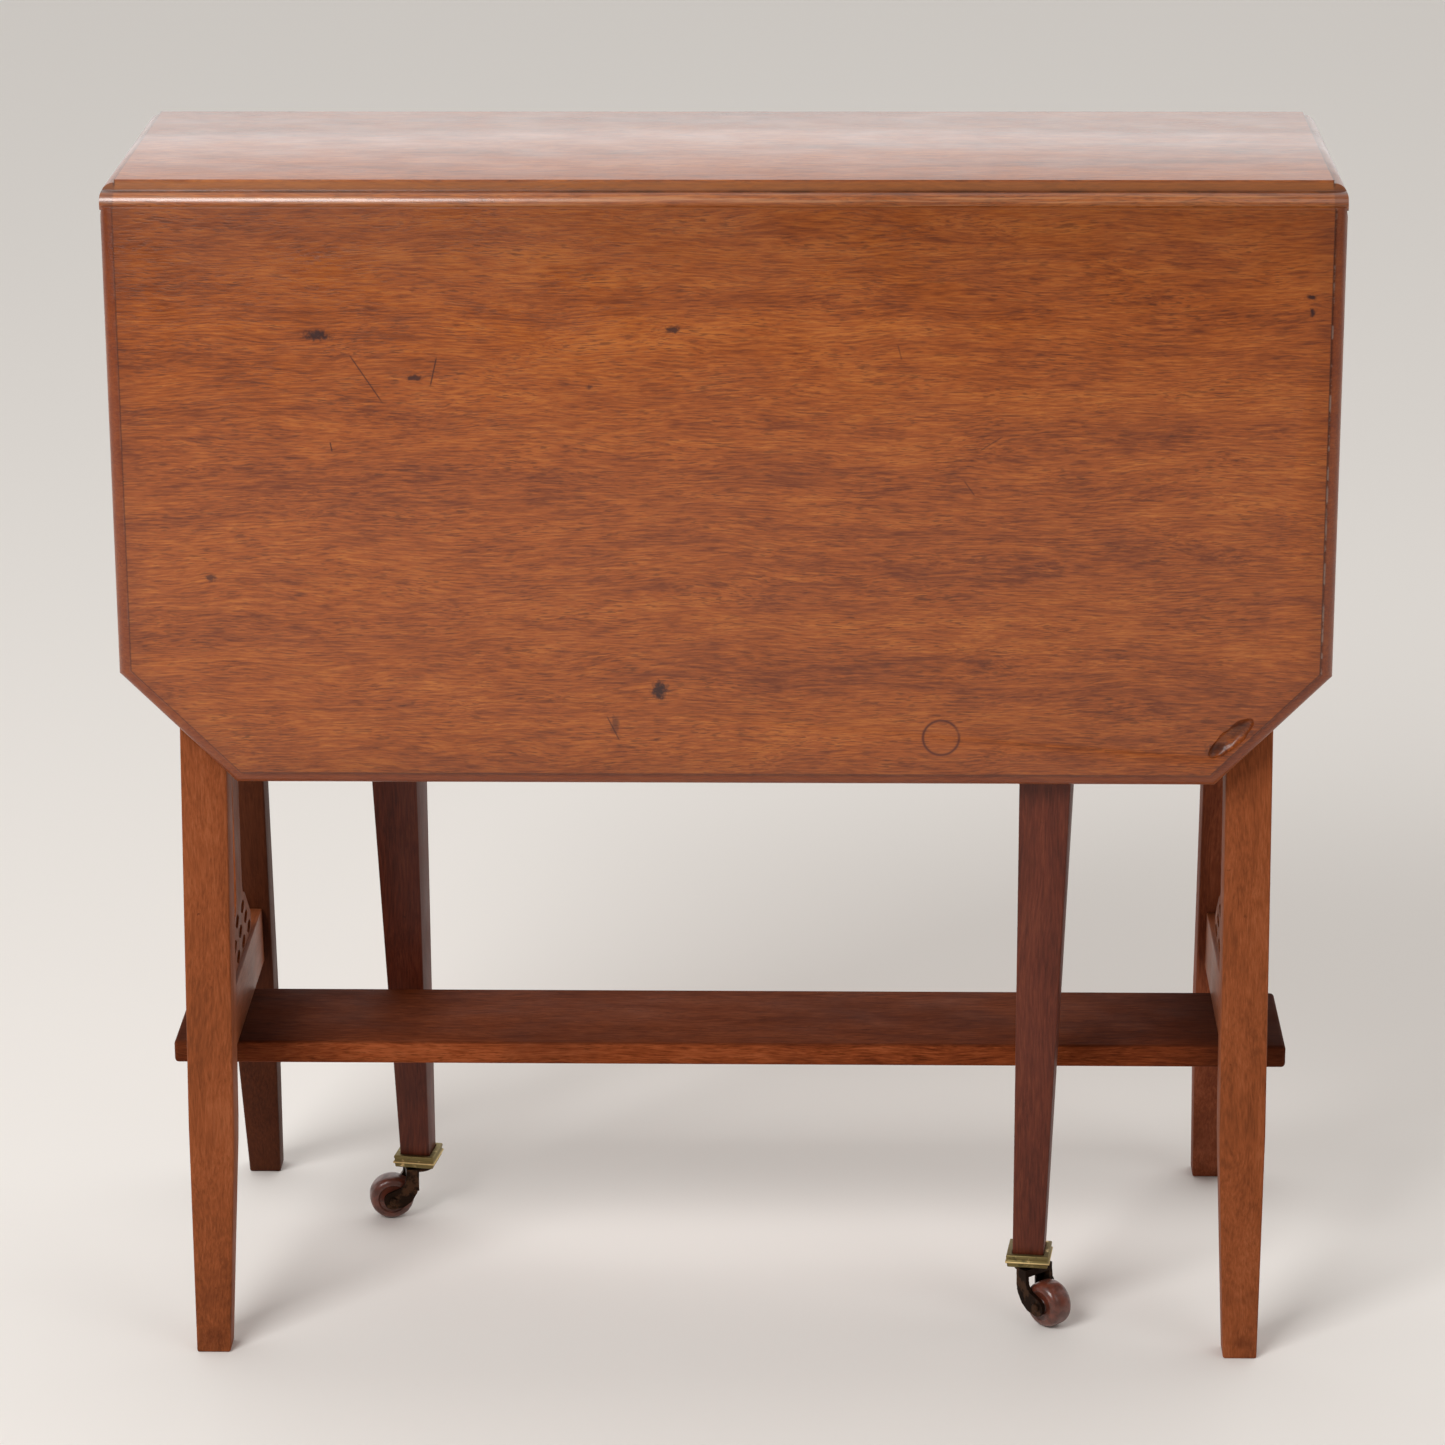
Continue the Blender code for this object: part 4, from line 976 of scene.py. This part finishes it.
def glazed_ware(name):
    material, tree, shader = new_material(name)
    place = add(tree, "TexCoord").outputs["Object"]
    cloud = patchy(tree, place, 5, 0.40, 0.62)
    colour = add(tree, MIX, cloud, paint("#6b3526"), paint("#52291c"))
    height = add(tree, TIMES, add(tree, "SeparateXYZ", {0: place}).outputs["Z"], TO_MM)
    tread = add(tree, MINUS, 1.0, add(tree, STEP, height, 1, 9))
    dusty = add(tree, TIMES, tread, patchy(tree, place, 3, 0.4, 0.6))
    colour = add(tree, MIX, add(tree, TIMES, dusty, 0.3), colour, paint("#6b4a3a"))
    roughness = add(tree, "MapRange", {0: cloud, 3: 0.3, 4: 0.5})
    grit = add(tree, "TexNoise", {"Vector": place, "Scale": 900.0, "Detail": 2.0})
    bump = add(tree, "Bump", {"Strength": 0.15, "Distance": 0.1 * MM, "Height": grit})
    feed(tree, shader, {"Base Color": colour, "Roughness": roughness, "Normal": bump, "IOR": 1.52,
                        "Coat Weight": 0.35, "Coat Roughness": 0.14})
    return material


# The cast brass of the cups carries a painted highlight along their raised line.
brass = aged_metal("aged_cast_brass", "#e6cb92", "#86774e", "#4b4a34", rubbed=(0.58, 0.72), painted_highlight_height=39.5)
plate_brass = aged_metal("aged_plate_brass", "#9a7c45", "#6a5634", "#352f20")
horn_iron = aged_metal("oiled_cast_horn", "#4a3426", "#2e211a", "#171210", rough=(0.35, 0.6))
steel = aged_metal("tarnished_steel", "#7d756b", "#544d46", "#3a2a20")
ware = glazed_ware("brown_glazed_ware")
for side in SIDES:
    dress(cups[side], brass)
    dress(wheels[side], ware)
    for node in ("_castor_horn", "_castor_axle"):
        dress(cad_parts[side + node], horn_iron)
    for node in ("_swivel_pin", "_gate_pin"):
        dress(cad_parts[side + node], steel)
for name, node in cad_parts.items():
    if name.startswith("screw_") or name.endswith("_flap"):
        dress(node, plate_brass)
    elif name.startswith("hinge_"):
        dress(node, steel)
print("materials:", len(bpy.data.materials))

# %% [markdown]
# ## Join the pieces to the frame
#
# Every new piece rides on the body it belongs to and takes the place of the
# plain CAD part, so the leaves lift, the gates turn and the wheels roll.

# %% Rides and replacements
RIDERS = [(top, "frame", "top_panel"), (shelf, "frame", "shelf"),
          (front_leaf, "front_leaf_swing", "front_leaf"), (back_leaf, "back_leaf_swing", "back_leaf")]
RIDERS += [(leg, "frame", f"{side}_{where}_leg") for (side, where), leg in legs.items()]
RIDERS += [(rail, "frame", where + "_low_rail") for where, rail in low_rails.items()]
for side in SIDES:
    RIDERS += [(swing_legs[side], side + "_gate", side + "_swing_leg"),
               (cups[side], side + "_gate", side + "_castor_cup"),
               (wheels[side], side + "_wheel", side + "_castor_wheel")]
for piece, body, node in RIDERS:
    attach(piece, body)
    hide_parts(node)
print(len(RIDERS), "pieces ride on the frame")

# %% [markdown]
# ## Floor, light and camera
#
# A plain pale floor and a pale world stand in for the room. One big soft
# light comes from the left front and above, with a weaker one from the right
# to open the shadows. The camera stands low in front with a long lens.

# %% The stage
bpy.ops.object.select_all(action="DESELECT")
bpy.ops.mesh.primitive_plane_add(size=14, location=(0, 0, 0))
floor = bpy.context.object
floor.name = "floor"
material, tree, shader = new_material("pale_floor")
feed(tree, shader, {"Base Color": paint("#efebe6"), "Roughness": 0.7})
dress(floor, material)
floor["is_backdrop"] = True

world = bpy.data.worlds.new("pale_room")
bpy.context.scene.world = world
world.use_nodes = True
sky = world.node_tree
toward = add(sky, "SeparateXYZ", {0: add(sky, "TexCoord").outputs["Generated"]}).outputs["Y"]
room = add(sky, MIX, add(sky, STEP, toward, -0.35, 0.45), paint("#67635f"), paint("#fdfbf9"))
feed(sky, sky.nodes["Background"], {"Color": room, "Strength": 1.12})


def soft_light(name, place, aim, size, power):
    data = bpy.data.lights.new(name, "AREA")
    data.shape = "RECTANGLE"
    data.size, data.size_y = size
    data.energy = power
    lamp = bpy.data.objects.new(name, data)
    bpy.context.scene.collection.objects.link(lamp)
    lamp.location = place
    lamp.rotation_euler = (Vector(aim) - Vector(place)).to_track_quat("-Z", "Y").to_euler()
    return lamp


soft_light("window", (-1.7, -2.4, 2.7), (0, 0, 0.4), (1.8, 1.4), 92)
soft_light("room", (2.2, -1.8, 2.2), (0, 0, 0.4), (1.8, 1.8), 12)

camera_data = bpy.data.cameras.new("camera")
camera_data.sensor_width = 36
camera_data.lens = 124.43
camera = bpy.data.objects.new("camera", camera_data)
bpy.context.scene.collection.objects.link(camera)
camera.location = (0.0698, -2.8595, 1.2636)
camera.rotation_mode = "QUATERNION"
LOOK_DOWN, LOOK_LEFT, ROLL = 0.30976, 0.02575, -0.00454
tilt = Vector((1, 0, 0))
level = Vector((0, 0, 1))
camera.rotation_quaternion = (Quaternion(level, LOOK_LEFT) @ Quaternion(tilt, math.pi / 2 - LOOK_DOWN)
                              @ Quaternion(level, ROLL))
bpy.context.scene.camera = camera
bpy.context.scene.view_settings.view_transform = "Standard"

# %% [markdown]
# ## Finish
#
# The last cell prints the size of the visual model.

# %% Size of the visual model
low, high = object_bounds()
print("visual size in m:", [round(v, 4) for v in high - low])
